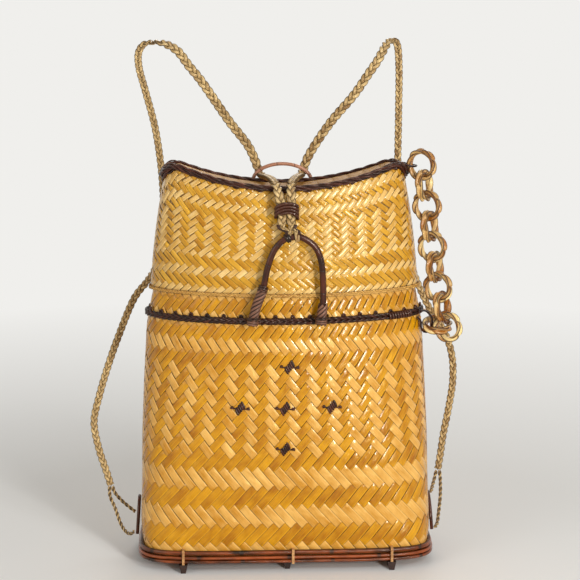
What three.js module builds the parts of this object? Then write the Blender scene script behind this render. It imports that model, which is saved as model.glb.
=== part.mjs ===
// Plaited pack basket with a cap lid, cane hoops, plaited straps and a chain of cane rings.
// Millimetres, +Z up. The origin is on the underside of the middle bearer, under the basket's centre.
// -Y is the front, with the front hoop, and +X is the side with the chain.
import * as THREE from 'three'

// Running and seating clearances
const seatGap = 0.3
const linkGap = 0.75

// Base: bearers, frame canes and ties
const bearerHeight = 8
const bearerWidth = 8
const bearerSoleWidth = 4.5
const bearerSpacing = 98.5
const bearerSetback = 9
const frameLowerWidth = 5.6
const frameLowerHeight = 7.4
const frameUpperWidth = 4.6
const frameUpperHeight = 4.7
const tieWidth = 2.4
const tieThickness = 1.1

// Basket body: each station has a height above the floor, half width, half depth and squareness
const baseHalfWidth = 135.5
const baseHalfDepth = 57
const baseCornerInset = 3.6
const baseCornerRise = 3
const bellyHalfWidth = 138.4
const bellyHalfDepth = 59.6
const wallThickness = 2.4
const mouthHeight = 240
const mouthHalfWidth = 128.8
const mouthHalfDepth = 54.6
const shoulderDrop = 12
const shoulderHeight = mouthHeight - shoulderDrop
const shoulderHalfWidth = 130.9
const shoulderHalfDepth = 55.6
const neckRise = 40
const neckHeight = mouthHeight + neckRise
const neckHalfWidth = 120.5
const neckHalfDepth = 50.7
const braidThickness = 3.5
const braidHeight = 6.4

// Lid
const lidRimRise = 24
const lidRimHeight = mouthHeight + lidRimRise
const lidHalfWidth = 126.6
const lidHalfDepth = 55
const lidTopHalfWidth = 113
const lidTopHalfDepth = 40
const lidWallHeight = 97
const lidTopHeight = lidRimHeight + lidWallHeight
const lidThickness = 1.7
const lidBulge = 2
const lidEndRise = 26.8
const lidCornerDrop = 18
const lidBackDrop = 5
const rimCordWidth = 2
const rimCordHeight = 4
const seamWidth = 4.4
const seamHeight = 4

// Cane hoops
const hoopHalfWidth = 32.6
const hoopFootDrop = 2
const hoopFootHeight = mouthHeight - hoopFootDrop
const hoopTopDrop = 41
const hoopHeight = lidTopHeight - hoopTopDrop - hoopFootHeight
const hoopThickness = 6
const hoopOffset = 62.4
const bindingThickness = 1.85
const bindingPitch = 2.5
const leftBindingHeight = 34
const rightBindingHeight = 17
const rearHoopHalfWidth = 28.4
const rearHoopRise = 17.4
const rearHoopThickness = 3
const rearHoopOffset = 47.2
const rearHoopFootDrop = 26
const rearLashingLength = 6
const rearLashingWall = 1.2

// Straps and closure
const strapWidth = 7.6
const strapThickness = 3.6
const lowerStrapWidth = 6.4
const lowerStrapThickness = 3.4
const legThickness = 3
const ringCaneThickness = 3.8
const ringPitch = 4.3
const ringTurns = 3.6
const ringDrop = 16
const ringHeightAboveFloor = lidTopHeight - ringDrop
const ringOffset = 57
const closureLegThickness = 4
const closureDrop = 14.4
const wrapThickness = 1.8
const wrapWidth = 4.6
const earThickness = 3.2
const earHeight = 33
const earHalfWidth = 16
const earOffset = 7

// Chain of cane rings
const linkHalfHeight = 13.4
const linkHalfWidth = 12.6
const linkBandThickness = 2.9
const linkBandWidth = 7
const chainTieThickness = 2.2
const chainReach = 14.6
const chainOffset = 15
const chainRise = 18.5
const lastLinkBack = 9.2
const lastLinkSet = 5
const lastLinkRise = 1

// Ornaments
const ornamentHalfWidth = 10
const ornamentHalfHeight = 7
const ornamentThickness = 0.8
const ornamentPitchX = 43
const ornamentPitchZ = 39
const ornamentCentreX = -1.6
const ornamentDrop = 82
const ornamentCentreZ = mouthHeight - ornamentDrop

// Counts
const aroundCount = 48
const bodyRingCount = 11
const lidRingCount = 6
const lidTopRingCount = 3
const bandSides = 6
const caneSides = 8
const linkSteps = 16
const strapSides = 8
const sampleCount = 720

const degree = Math.PI / 180
const up = new THREE.Vector3(0, 0, 1)

// Materials
function finish(red, green, blue, roughness, metalness = 0) {
  const material = new THREE.MeshStandardMaterial({ roughness, metalness })
  material.color.setRGB(red, green, blue, THREE.SRGBColorSpace)
  return material
}
const goldenCane = finish(0.85, 0.64, 0.26, 0.4)
const paleCane = finish(0.9, 0.74, 0.44, 0.42)
const darkCane = finish(0.2, 0.08, 0.06, 0.4)
const frameCane = finish(0.42, 0.18, 0.1, 0.45)
const strapCane = finish(0.78, 0.66, 0.43, 0.55)
const ringCane = finish(0.88, 0.73, 0.44, 0.45)

const basket = new THREE.Group()
const lid = new THREE.Group()
const chain = new THREE.Group()
const closure = new THREE.Group()

function addPiece(parent, name, geometry, material) {
  const mesh = new THREE.Mesh(geometry, material)
  mesh.name = name
  parent.add(mesh)
  return mesh
}

// Closed grids: rows of points joined by faces, closed round each row and either capped or joined end to end
function signedVolume(points, faces) {
  let volume = 0
  for (const [a, b, c] of faces) {
    volume += points[a].dot(new THREE.Vector3().crossVectors(points[b], points[c]))
  }
  return volume
}

function geometryOf(points, faces) {
  const turned = signedVolume(points, faces) < 0
  const geometry = new THREE.BufferGeometry()
  const corners = faces.flatMap(([a, b, c]) => (turned ? [a, c, b] : [a, b, c]))
  geometry.setAttribute('position', new THREE.Float32BufferAttribute(points.flatMap((p) => p.toArray()), 3))
  geometry.setIndex(corners)
  geometry.computeVertexNormals()
  return geometry
}

function closedGrid(rows, { joined = false, startPole = null, endPole = null } = {}) {
  const columns = rows[0].length
  const points = rows.flat()
  const faces = []
  const lastRow = joined ? rows.length : rows.length - 1
  for (let row = 0; row < lastRow; row += 1) {
    const next = (row + 1) % rows.length
    for (let column = 0; column < columns; column += 1) {
      const beside = (column + 1) % columns
      const a = row * columns + column
      const b = row * columns + beside
      const c = next * columns + beside
      const d = next * columns + column
      faces.push([a, b, c], [a, c, d])
    }
  }
  if (!joined) {
    const average = (row) => row.reduce((sum, p) => sum.add(p), new THREE.Vector3()).divideScalar(columns)
    const start = points.push(startPole ?? average(rows[0])) - 1
    const end = points.push(endPole ?? average(rows.at(-1))) - 1
    const base = (rows.length - 1) * columns
    for (let column = 0; column < columns; column += 1) {
      const beside = (column + 1) % columns
      faces.push([start, beside, column], [end, base + column, base + beside])
    }
  }
  return geometryOf(points, faces)
}

// Outline of a section: a superellipse in equal steps along its length, each with its outward normal
function sectionOutline(halfWidth, halfDepth, squareness, count = aroundCount) {
  const power = 2 / squareness
  const fine = []
  for (let i = 0; i <= sampleCount; i += 1) {
    const angle = (2 * Math.PI * i) / sampleCount
    const c = Math.cos(angle)
    const s = Math.sin(angle)
    const x = halfWidth * Math.sign(c) * Math.abs(c) ** power
    const y = halfDepth * Math.sign(s) * Math.abs(s) ** power
    fine.push(new THREE.Vector2(x, y))
  }
  const lengths = [0]
  for (let i = 1; i <= sampleCount; i += 1) {
    lengths.push(lengths[i - 1] + fine[i].distanceTo(fine[i - 1]))
  }
  const total = lengths[sampleCount]
  const outline = []
  let index = 0
  for (let k = 0; k < count; k += 1) {
    const target = (total * k) / count
    while (lengths[index + 1] < target) index += 1
    const share = (target - lengths[index]) / (lengths[index + 1] - lengths[index])
    const point = fine[index].clone().lerp(fine[index + 1], share)
    const slopeX = Math.sign(point.x) * Math.abs(point.x / halfWidth) ** (squareness - 1) / halfWidth
    const slopeY = Math.sign(point.y) * Math.abs(point.y / halfDepth) ** (squareness - 1) / halfDepth
    const normal = new THREE.Vector2(slopeX, slopeY).normalize()
    outline.push({ point, normal })
  }
  return outline
}

// A closed band that follows an outline at an offset, with an oval section
function bandRound(outline, offset, halfThickness, halfHeight, heightAt) {
  const rows = outline.map(({ point, normal }) => {
    const row = []
    for (let side = 0; side < bandSides; side += 1) {
      const angle = (2 * Math.PI * side) / bandSides + Math.PI / bandSides
      const out = offset + halfThickness + (halfThickness * Math.cos(angle)) / Math.cos(Math.PI / bandSides)
      const x = point.x + normal.x * out
      const y = point.y + normal.y * out
      row.push(new THREE.Vector3(x, y, heightAt(x, y) + halfHeight * Math.sin(angle)))
    }
    return row
  })
  return closedGrid(rows, { joined: true })
}

// A closed sweep along a path, its section given as points of (side, front) for each share of the way.
// The side direction is kept square to the path and as near as it can be to the hint.
function sweep(path, steps, sectionAt, sideHint) {
  const rows = []
  for (let i = 0; i <= steps; i += 1) {
    const share = i / steps
    const at = path.getPointAt(share)
    const along = path.getTangentAt(share)
    const side = sideHint.clone().addScaledVector(along, -sideHint.dot(along)).normalize()
    const front = new THREE.Vector3().crossVectors(along, side)
    rows.push(sectionAt(share).map(([s, f]) => at.clone().addScaledVector(side, s).addScaledVector(front, f)))
  }
  return closedGrid(rows)
}

function ovalSection(width, thickness, sides) {
  const section = []
  for (let side = 0; side < sides; side += 1) {
    const angle = (2 * Math.PI * side) / sides + Math.PI / sides
    const reach = 1 / Math.cos(Math.PI / sides)
    section.push([(width / 2) * reach * Math.cos(angle), (thickness / 2) * reach * Math.sin(angle)])
  }
  return section
}

function roundShape(thickness, sides) {
  const shape = new THREE.Shape()
  for (let side = 0; side < sides; side += 1) {
    const angle = (2 * Math.PI * side) / sides
    const x = (thickness / 2) * Math.cos(angle)
    const y = (thickness / 2) * Math.sin(angle)
    if (side === 0) shape.moveTo(x, y)
    else shape.lineTo(x, y)
  }
  shape.closePath()
  return shape
}

function cane(points, thickness, steps, sides = bandSides) {
  const path = new THREE.CatmullRomCurve3(points, false, 'centripetal')
  return new THREE.ExtrudeGeometry(roundShape(thickness, sides), { steps, extrudePath: path })
}

// Body of the basket
const bodyBottom = bearerHeight + seatGap
const frameLowerCentre = bodyBottom + frameLowerHeight / 2
const frameUpperBottom = bodyBottom + frameLowerHeight + seatGap
const frameUpperCentre = frameUpperBottom + frameUpperHeight / 2
const frameTop = frameUpperBottom + frameUpperHeight
const wallRise = mouthHeight - frameTop

function stationAt(height, halfWidth, halfDepth, squareness) {
  return { height, halfWidth, halfDepth, squareness }
}
// Shares of the rise from the frame to the mouth, and of the change from the belly to the shoulder
const bellyShare = 0.09
const waistShare = 0.25
const middleShare = 0.47
const chestShare = 0.7
const waistWidthShare = 0.15
const middleWidthShare = 0.24
const chestWidthShare = 0.56
const waistDepthShare = -0.2
const middleDepthShare = -0.2
const chestDepthShare = 0.2
const easeShare = 0.03
const easeWidthShare = 0.7

const widthFall = shoulderHalfWidth - bellyHalfWidth
const depthFall = shoulderHalfDepth - bellyHalfDepth
const baseSquareness = 5.5
const bellySquareness = 4.3
const waistSquareness = 3.4
const middleSquareness = 2.6
const chestSquareness = 2.1
const shoulderSquareness = 1.85
const mouthSquareness = 1.8
const neckSquareness = 1.75
const lidTopSquareness = 2.6

const bodyStations = [
  stationAt(bodyBottom, baseHalfWidth, baseHalfDepth, baseSquareness),
  stationAt(frameTop, baseHalfWidth, baseHalfDepth, baseSquareness),
  stationAt(
    frameTop + wallRise * easeShare,
    baseHalfWidth + (bellyHalfWidth - baseHalfWidth) * easeWidthShare,
    baseHalfDepth + (bellyHalfDepth - baseHalfDepth) * easeWidthShare,
    baseSquareness
  ),
  stationAt(frameTop + wallRise * bellyShare, bellyHalfWidth, bellyHalfDepth, bellySquareness),
  stationAt(
    frameTop + wallRise * waistShare,
    bellyHalfWidth + widthFall * waistWidthShare,
    bellyHalfDepth + depthFall * waistDepthShare,
    waistSquareness
  ),
  stationAt(
    frameTop + wallRise * middleShare,
    bellyHalfWidth + widthFall * middleWidthShare,
    bellyHalfDepth + depthFall * middleDepthShare,
    middleSquareness
  ),
  stationAt(
    frameTop + wallRise * chestShare,
    bellyHalfWidth + widthFall * chestWidthShare,
    bellyHalfDepth + depthFall * chestDepthShare,
    chestSquareness
  ),
  stationAt(shoulderHeight, shoulderHalfWidth, shoulderHalfDepth, shoulderSquareness),
  stationAt(mouthHeight, mouthHalfWidth, mouthHalfDepth, mouthSquareness),
  stationAt(neckHeight, neckHalfWidth, neckHalfDepth, neckSquareness),
]

function bodyAt(height) {
  const last = bodyStations.length - 1
  let index = 0
  while (index < last - 1 && bodyStations[index + 1].height < height) index += 1
  const low = bodyStations[index]
  const high = bodyStations[index + 1]
  const share = THREE.MathUtils.clamp((height - low.height) / (high.height - low.height), 0, 1)
  const mix = (key) => low[key] + (high[key] - low[key]) * share
  return stationAt(height, mix('halfWidth'), mix('halfDepth'), mix('squareness'))
}

function bodyOutline(height) {
  const station = bodyAt(height)
  return sectionOutline(station.halfWidth, station.halfDepth, station.squareness)
}

function ringAt(outline, height, offset) {
  return outline.map(({ point, normal }) => {
    return new THREE.Vector3(point.x + normal.x * offset, point.y + normal.y * offset, height)
  })
}

// The front (-1) or back (+1) of the wall at a place across the basket
function wallDepthAt(across, height, side) {
  const { halfWidth, halfDepth, squareness } = bodyAt(height)
  const share = Math.min(Math.abs(across) / halfWidth, 1)
  return side * halfDepth * (1 - share ** squareness) ** (1 / squareness)
}

function makeBody() {
  const heights = bodyStations.slice(1).map(({ height }) => height)
  const outer = [
    ringAt(bodyOutline(bodyBottom), bodyBottom, -baseCornerInset),
    ringAt(bodyOutline(bodyBottom), bodyBottom + baseCornerRise, 0),
    ...heights.map((height) => ringAt(bodyOutline(height), height, 0)),
  ]
  const floor = bodyBottom + wallThickness
  const inner = [
    ...heights.map((height) => ringAt(bodyOutline(height), height, -wallThickness)).reverse(),
    ringAt(bodyOutline(bodyBottom), floor + baseCornerRise, -wallThickness),
    ringAt(bodyOutline(bodyBottom), floor, -wallThickness - baseCornerInset),
  ]
  return closedGrid([...outer, ...inner], {
    startPole: new THREE.Vector3(0, 0, bodyBottom),
    endPole: new THREE.Vector3(0, 0, floor),
  })
}
addPiece(basket, 'basket_body', makeBody(), goldenCane)

const braidSeat = 2 * seatGap
const braidGeometry = bandRound(
  bodyOutline(mouthHeight), braidSeat, braidThickness / 2, braidHeight / 2, () => mouthHeight
)
addPiece(basket, 'mouth_braid', braidGeometry, darkCane)

// Base frame: two canes bent round the foot of the wall
const footOutline = bodyOutline(bodyBottom)
const frameLowerGeometry = bandRound(
  footOutline, seatGap, frameLowerWidth / 2, frameLowerHeight / 2, () => frameLowerCentre
)
addPiece(basket, 'base_frame_lower', frameLowerGeometry, frameCane)
const frameUpperGeometry = bandRound(
  footOutline, seatGap, frameUpperWidth / 2, frameUpperHeight / 2, () => frameUpperCentre
)
addPiece(basket, 'base_frame_upper', frameUpperGeometry, frameCane)
const frameOuterDepth = baseHalfDepth + seatGap + frameLowerWidth

// Bearers: cross bars under the frame, narrower at the sole
function makeBearer(centre, halfLength) {
  const shape = new THREE.Shape([
    new THREE.Vector2(-bearerSoleWidth / 2, 0),
    new THREE.Vector2(bearerSoleWidth / 2, 0),
    new THREE.Vector2(bearerWidth / 2, bearerHeight),
    new THREE.Vector2(-bearerWidth / 2, bearerHeight),
  ])
  const geometry = new THREE.ExtrudeGeometry(shape, { depth: 2 * halfLength, bevelEnabled: false })
  geometry.rotateX(Math.PI / 2)
  geometry.translate(centre, halfLength, 0)
  return geometry
}
const bearers = [
  ['left', -bearerSpacing, frameOuterDepth],
  ['middle', 0, frameOuterDepth - bearerSetback],
  ['right', bearerSpacing, frameOuterDepth],
]
for (const [side, centre, halfLength] of bearers) {
  addPiece(basket, `bearer_${side}`, makeBearer(centre, halfLength), frameCane)
}

// Ties: staples of cane over the two frame canes, from the wall above to the wall below
function frameFaceAt(across) {
  const outline = footOutline
  let best = 0
  for (let i = 0; i < outline.length; i += 1) {
    const next = outline[(i + 1) % outline.length]
    const here = outline[i]
    const low = Math.min(here.point.x, next.point.x)
    const high = Math.max(here.point.x, next.point.x)
    if (across >= low && across <= high) best = Math.max(best, Math.abs(here.point.y), Math.abs(next.point.y))
  }
  return best + seatGap + frameLowerWidth
}

function makeTie(centre, side) {
  const face = frameFaceAt(centre) + seatGap
  const top = frameTop + seatGap
  const inner = wallDepthAt(centre, top + tieThickness, 1) + seatGap
  const low = bodyBottom
  const shape = new THREE.Shape([
    new THREE.Vector2(inner, top),
    new THREE.Vector2(face, top),
    new THREE.Vector2(face, low),
    new THREE.Vector2(face + tieThickness, low),
    new THREE.Vector2(face + tieThickness, top + tieThickness),
    new THREE.Vector2(inner, top + tieThickness),
  ])
  const geometry = new THREE.ExtrudeGeometry(shape, { depth: tieWidth, bevelEnabled: false })
  geometry.rotateX(Math.PI / 2)
  geometry.rotateZ(side * (Math.PI / 2))
  geometry.translate(centre + (side * -tieWidth) / 2, 0, 0)
  return geometry
}
const tieShare = 0.05
const tiePlaces = [
  ['left', -bearerSpacing],
  ['middle', bearerSpacing * tieShare],
  ['right', bearerSpacing],
]
for (const [label, side] of [['front', -1], ['back', 1]]) {
  for (const [place, centre] of tiePlaces) {
    addPiece(basket, `frame_tie_${label}_${place}`, makeTie(centre, side), paleCane)
  }
}

// Strap ears: cane arches that stand on the frame against the sides
function makeEar(side) {
  const lean = Math.max(baseHalfWidth, bellyHalfWidth) + seatGap + earThickness / 2
  const foot = lean + frameUpperWidth / 2
  const bottom = frameTop + seatGap + earThickness / 2
  const points = []
  const arcSteps = 8
  for (let i = 0; i <= arcSteps; i += 1) {
    const angle = (Math.PI * i) / arcSteps
    const rise = earHeight * Math.sin(angle)
    const across = lean + ((foot - lean) * (earHeight - rise)) / earHeight
    points.push(new THREE.Vector3(side * across, earOffset - earHalfWidth * Math.cos(angle), bottom + rise))
  }
  return cane(points, earThickness, 16)
}
addPiece(basket, 'strap_ear_left', makeEar(-1), darkCane)
addPiece(basket, 'strap_ear_right', makeEar(1), darkCane)

// Lid: its wall runs from the rim's outline to the top's outline, and the top is a saddle
const lidRimOutline = sectionOutline(lidHalfWidth, lidHalfDepth, neckSquareness)
const lidTopOutline = sectionOutline(lidTopHalfWidth, lidTopHalfDepth, lidTopSquareness)
const cornerStartShare = 0.86

function lidTopAt(x, y) {
  const across = Math.min(Math.abs(x) / lidTopHalfWidth, 1)
  const corner = Math.max(across - cornerStartShare, 0) / (1 - cornerStartShare)
  const back = (y + lidTopHalfDepth) / (2 * lidTopHalfDepth)
  return lidTopHeight + lidEndRise * across ** 2 - lidCornerDrop * corner ** 2 - lidBackDrop * back
}

function lidWallRing(share, offset, lift) {
  return lidRimOutline.map((rim, index) => {
    const top = lidTopOutline[index]
    const bulge = 4 * lidBulge * share * (1 - share)
    const normal = rim.normal.clone().lerp(top.normal, share).normalize()
    const flat = rim.point.clone().lerp(top.point, share).addScaledVector(normal, bulge + offset)
    const topHeight = lidTopAt(top.point.x, top.point.y) + lift
    const height = lidRimHeight + (topHeight - lidRimHeight) * share
    return new THREE.Vector3(flat.x, flat.y, height)
  })
}

function lidTopRing(scale, offset, lift) {
  return lidTopOutline.map(({ point, normal }) => {
    const x = (point.x + normal.x * offset) * scale
    const y = (point.y + normal.y * offset) * scale
    return new THREE.Vector3(x, y, lidTopAt(x, y) + lift)
  })
}

function makeLid() {
  const wallShares = Array.from({ length: lidRingCount + 1 }, (_, i) => i / lidRingCount)
  const topScales = Array.from({ length: lidTopRingCount }, (_, i) => 1 - (i + 1) / (lidTopRingCount + 1))
  const outer = [
    ...wallShares.map((share) => lidWallRing(share, 0, 0)),
    ...topScales.map((scale) => lidTopRing(scale, 0, 0)),
  ]
  const inner = [
    ...wallShares.map((share) => lidWallRing(share, -lidThickness, -lidThickness)),
    ...topScales.map((scale) => lidTopRing(scale, -lidThickness, -lidThickness)),
  ]
  const crown = lidTopAt(0, 0)
  const rows = [...[...outer].reverse(), ...inner]
  return closedGrid(rows, {
    startPole: new THREE.Vector3(0, 0, crown),
    endPole: new THREE.Vector3(0, 0, crown - lidThickness),
  })
}
addPiece(lid, 'lid_shell', makeLid(), paleCane)

const rimCordGeometry = bandRound(
  lidRimOutline, seatGap, rimCordWidth / 2, rimCordHeight / 2, () => lidRimHeight
)
addPiece(lid, 'lid_rim_cord', rimCordGeometry, strapCane)

// The seam lies on the top edge of the wall, just outside it
const seamSeat = 2.5 * seatGap
const seamGeometry = bandRound(
  lidTopOutline, seamSeat, seamWidth / 2, seamHeight / 2, (x, y) => {
    const pull = lidTopHalfWidth / (lidTopHalfWidth + seamSeat + seamWidth)
    return lidTopAt(x * pull, y * pull)
  }
)
addPiece(lid, 'lid_top_seam', seamGeometry, darkCane)

// Front hoop: shares of its half width and height, from the left foot over the top to the right foot
const hoopShares = [
  [-1.01, 0], [-0.9, 0.2], [-0.7, 0.42], [-0.56, 0.67], [-0.34, 0.88], [-0.04, 0.985],
  [0.14, 1], [0.37, 0.997], [0.76, 0.89], [0.93, 0.735], [0.99, 0.5], [0.99, 0.24], [0.93, 0],
]
const hoopPoints = hoopShares.map(([across, rise]) => {
  return new THREE.Vector3(hoopHalfWidth * across, -hoopOffset, hoopFootHeight + hoopHeight * rise)
})
const hoopPath = new THREE.CatmullRomCurve3(hoopPoints, false, 'centripetal')
addPiece(basket, 'front_hoop', cane(hoopPoints, hoopThickness, 36, caneSides), darkCane)

// Windings: one unbroken cane round a path, from a formula, with straight ends
function windingPoints(path, startShare, endShare, turns, radius, stepsPerTurn) {
  const points = []
  const steps = Math.round(turns * stepsPerTurn)
  for (let i = 0; i <= steps; i += 1) {
    const share = startShare + ((endShare - startShare) * i) / steps
    const at = path.getPointAt(share)
    const along = path.getTangentAt(share)
    const side = new THREE.Vector3(0, 1, 0)
    const front = new THREE.Vector3().crossVectors(along, side).normalize()
    const angle = (2 * Math.PI * i) / stepsPerTurn
    points.push(
      at.clone().addScaledVector(side, radius * Math.cos(angle)).addScaledVector(front, radius * Math.sin(angle))
    )
  }
  return points
}

function tubeThrough(points, thickness, sides, straightLength) {
  const first = points[0].clone().sub(points[1]).setLength(straightLength).add(points[0])
  const last = points.at(-1).clone().sub(points.at(-2)).setLength(straightLength).add(points.at(-1))
  const line = [first, ...points, last]
  const rows = line.map((at, index) => {
    const before = line[Math.max(index - 1, 0)]
    const after = line[Math.min(index + 1, line.length - 1)]
    const along = after.clone().sub(before).normalize()
    const side = up.clone().addScaledVector(along, -up.dot(along)).normalize()
    const front = new THREE.Vector3().crossVectors(along, side)
    const row = []
    for (let k = 0; k < sides; k += 1) {
      const angle = (2 * Math.PI * k) / sides
      row.push(
        at.clone()
          .addScaledVector(side, (thickness / 2) * Math.cos(angle))
          .addScaledVector(front, (thickness / 2) * Math.sin(angle))
      )
    }
    return row
  })
  return closedGrid(rows)
}

// Least distance between two stretches of a winding that are over half a turn apart, less its thickness
function leastGap(points, thickness, stepsPerTurn) {
  let least = Infinity
  const apart = Math.ceil(stepsPerTurn / 2)
  for (let i = 0; i < points.length; i += 1) {
    for (let j = i + apart; j < points.length - 1; j += 1) {
      const line = new THREE.Line3(points[j], points[j + 1])
      const near = line.closestPointToPoint(points[i], true, new THREE.Vector3())
      least = Math.min(least, near.distanceTo(points[i]) - thickness)
    }
  }
  return least
}

const bindingSteps = 12
const bindingSeat = 1.5 * seatGap
const bindingRadius = hoopThickness / 2 + bindingSeat + bindingThickness / 2
const hoopLength = hoopPath.getLength()
function addBinding(name, fromStart, height) {
  const first = bindingThickness / hoopLength
  const last = (bindingThickness + height) / hoopLength
  const turns = height / bindingPitch
  const startShare = fromStart ? first : 1 - first
  const endShare = fromStart ? last : 1 - last
  const points = windingPoints(hoopPath, startShare, endShare, turns, bindingRadius, bindingSteps)
  console.log(name, 'least gap', leastGap(points, bindingThickness, bindingSteps).toFixed(2))
  addPiece(basket, name, tubeThrough(points, bindingThickness, 5, bindingThickness / 2), darkCane)
}
addBinding('hoop_binding_left', true, leftBindingHeight)
addBinding('hoop_binding_right', false, rightBindingHeight)

// Lashings: flat cane staples round the bound legs, just above the braid, with their ends at the neck
const lashingInner = bindingRadius + bindingThickness / 2 + 2 * seatGap
const lashingThickness = 1.4
const lashingHeight = 2.6
function hoopAcrossAt(height, side) {
  let index = 0
  while (hoopPath.getPointAt(side < 0 ? index / sampleCount : 1 - index / sampleCount).z < height) index += 1
  return hoopPath.getPointAt(side < 0 ? index / sampleCount : 1 - index / sampleCount).x
}

function makeHoopLashing(side) {
  const bottom = mouthHeight + braidHeight / 2 + seatGap
  const across = hoopAcrossAt(bottom + lashingHeight / 2, side)
  const outer = lashingInner + lashingThickness
  const wall = (x) => wallDepthAt(x, bottom, -1) - seatGap
  const front = -hoopOffset
  const shape = new THREE.Shape()
  shape.moveTo(across - outer, wall(Math.abs(across) - outer))
  shape.lineTo(across - outer, front)
  shape.absarc(across, front, outer, Math.PI, 2 * Math.PI, false)
  shape.lineTo(across + outer, wall(Math.abs(across) - outer))
  shape.lineTo(across + lashingInner, wall(Math.abs(across) - outer))
  shape.lineTo(across + lashingInner, front)
  shape.absarc(across, front, lashingInner, 2 * Math.PI, Math.PI, true)
  shape.lineTo(across - lashingInner, wall(Math.abs(across) - outer))
  shape.closePath()
  const geometry = new THREE.ExtrudeGeometry(shape, {
    depth: lashingHeight, bevelEnabled: false, curveSegments: 6,
  })
  geometry.translate(0, 0, bottom)
  return geometry
}
addPiece(basket, 'hoop_lashing_left', makeHoopLashing(-1), darkCane)
addPiece(basket, 'hoop_lashing_right', makeHoopLashing(1), darkCane)

// Rear hoop: a thin arch whose feet lie on the back of the lid
function lidBackAt(height) {
  const share = (height - lidRimHeight) / (lidTopHeight - lidBackDrop - lidRimHeight)
  return lidHalfDepth + (lidTopHalfDepth - lidHalfDepth) * share + 4 * lidBulge * share * (1 - share)
}
const rearFootHeight = lidTopHeight - lidBackDrop - rearHoopFootDrop
const rearApexHeight = lidTopHeight + rearHoopRise - lidBackDrop
const rearArcSteps = 8
const rearPoints = []
function rearFootPoint(side, height) {
  const clear = seatGap + rearLashingWall + seatGap + rearHoopThickness / 2
  return new THREE.Vector3(side * rearHoopHalfWidth, lidBackAt(height) + clear, height)
}
rearPoints.push(rearFootPoint(-1, rearFootHeight))
rearPoints.push(rearFootPoint(-1, rearFootHeight + rearHoopFootDrop / 2))
for (let i = 0; i <= rearArcSteps; i += 1) {
  const angle = Math.PI - (Math.PI * i) / rearArcSteps
  const arcHeight = rearApexHeight - (rearFootHeight + rearHoopFootDrop)
  rearPoints.push(new THREE.Vector3(
    rearHoopHalfWidth * Math.cos(angle), rearHoopOffset, rearApexHeight - arcHeight * (1 - Math.sin(angle))
  ))
}
rearPoints.push(rearFootPoint(1, rearFootHeight + rearHoopFootDrop / 2))
rearPoints.push(rearFootPoint(1, rearFootHeight))
addPiece(lid, 'rear_hoop', cane(rearPoints, rearHoopThickness, 32), darkCane)

function makeRearLashing(side) {
  const shape = new THREE.Shape()
  const bore = rearHoopThickness / 2 + 2.2 * seatGap
  shape.absarc(0, 0, bore + rearLashingWall, 0, 2 * Math.PI, false)
  const hole = new THREE.Path()
  hole.absarc(0, 0, bore, 0, 2 * Math.PI, true)
  shape.holes.push(hole)
  const geometry = new THREE.ExtrudeGeometry(shape, {
    depth: rearLashingLength, bevelEnabled: false, curveSegments: 5,
  })
  const low = rearFootPoint(side, rearFootHeight)
  const high = rearFootPoint(side, rearFootHeight + rearHoopFootDrop / 2)
  const along = high.clone().sub(low).normalize()
  const turn = new THREE.Quaternion().setFromUnitVectors(up, along)
  geometry.applyQuaternion(turn)
  const start = low.addScaledVector(along, rearLashingLength / 2)
  geometry.translate(start.x, start.y, start.z)
  return geometry
}
addPiece(lid, 'rear_hoop_lashing_left', makeRearLashing(-1), darkCane)
addPiece(lid, 'rear_hoop_lashing_right', makeRearLashing(1), darkCane)

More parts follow.
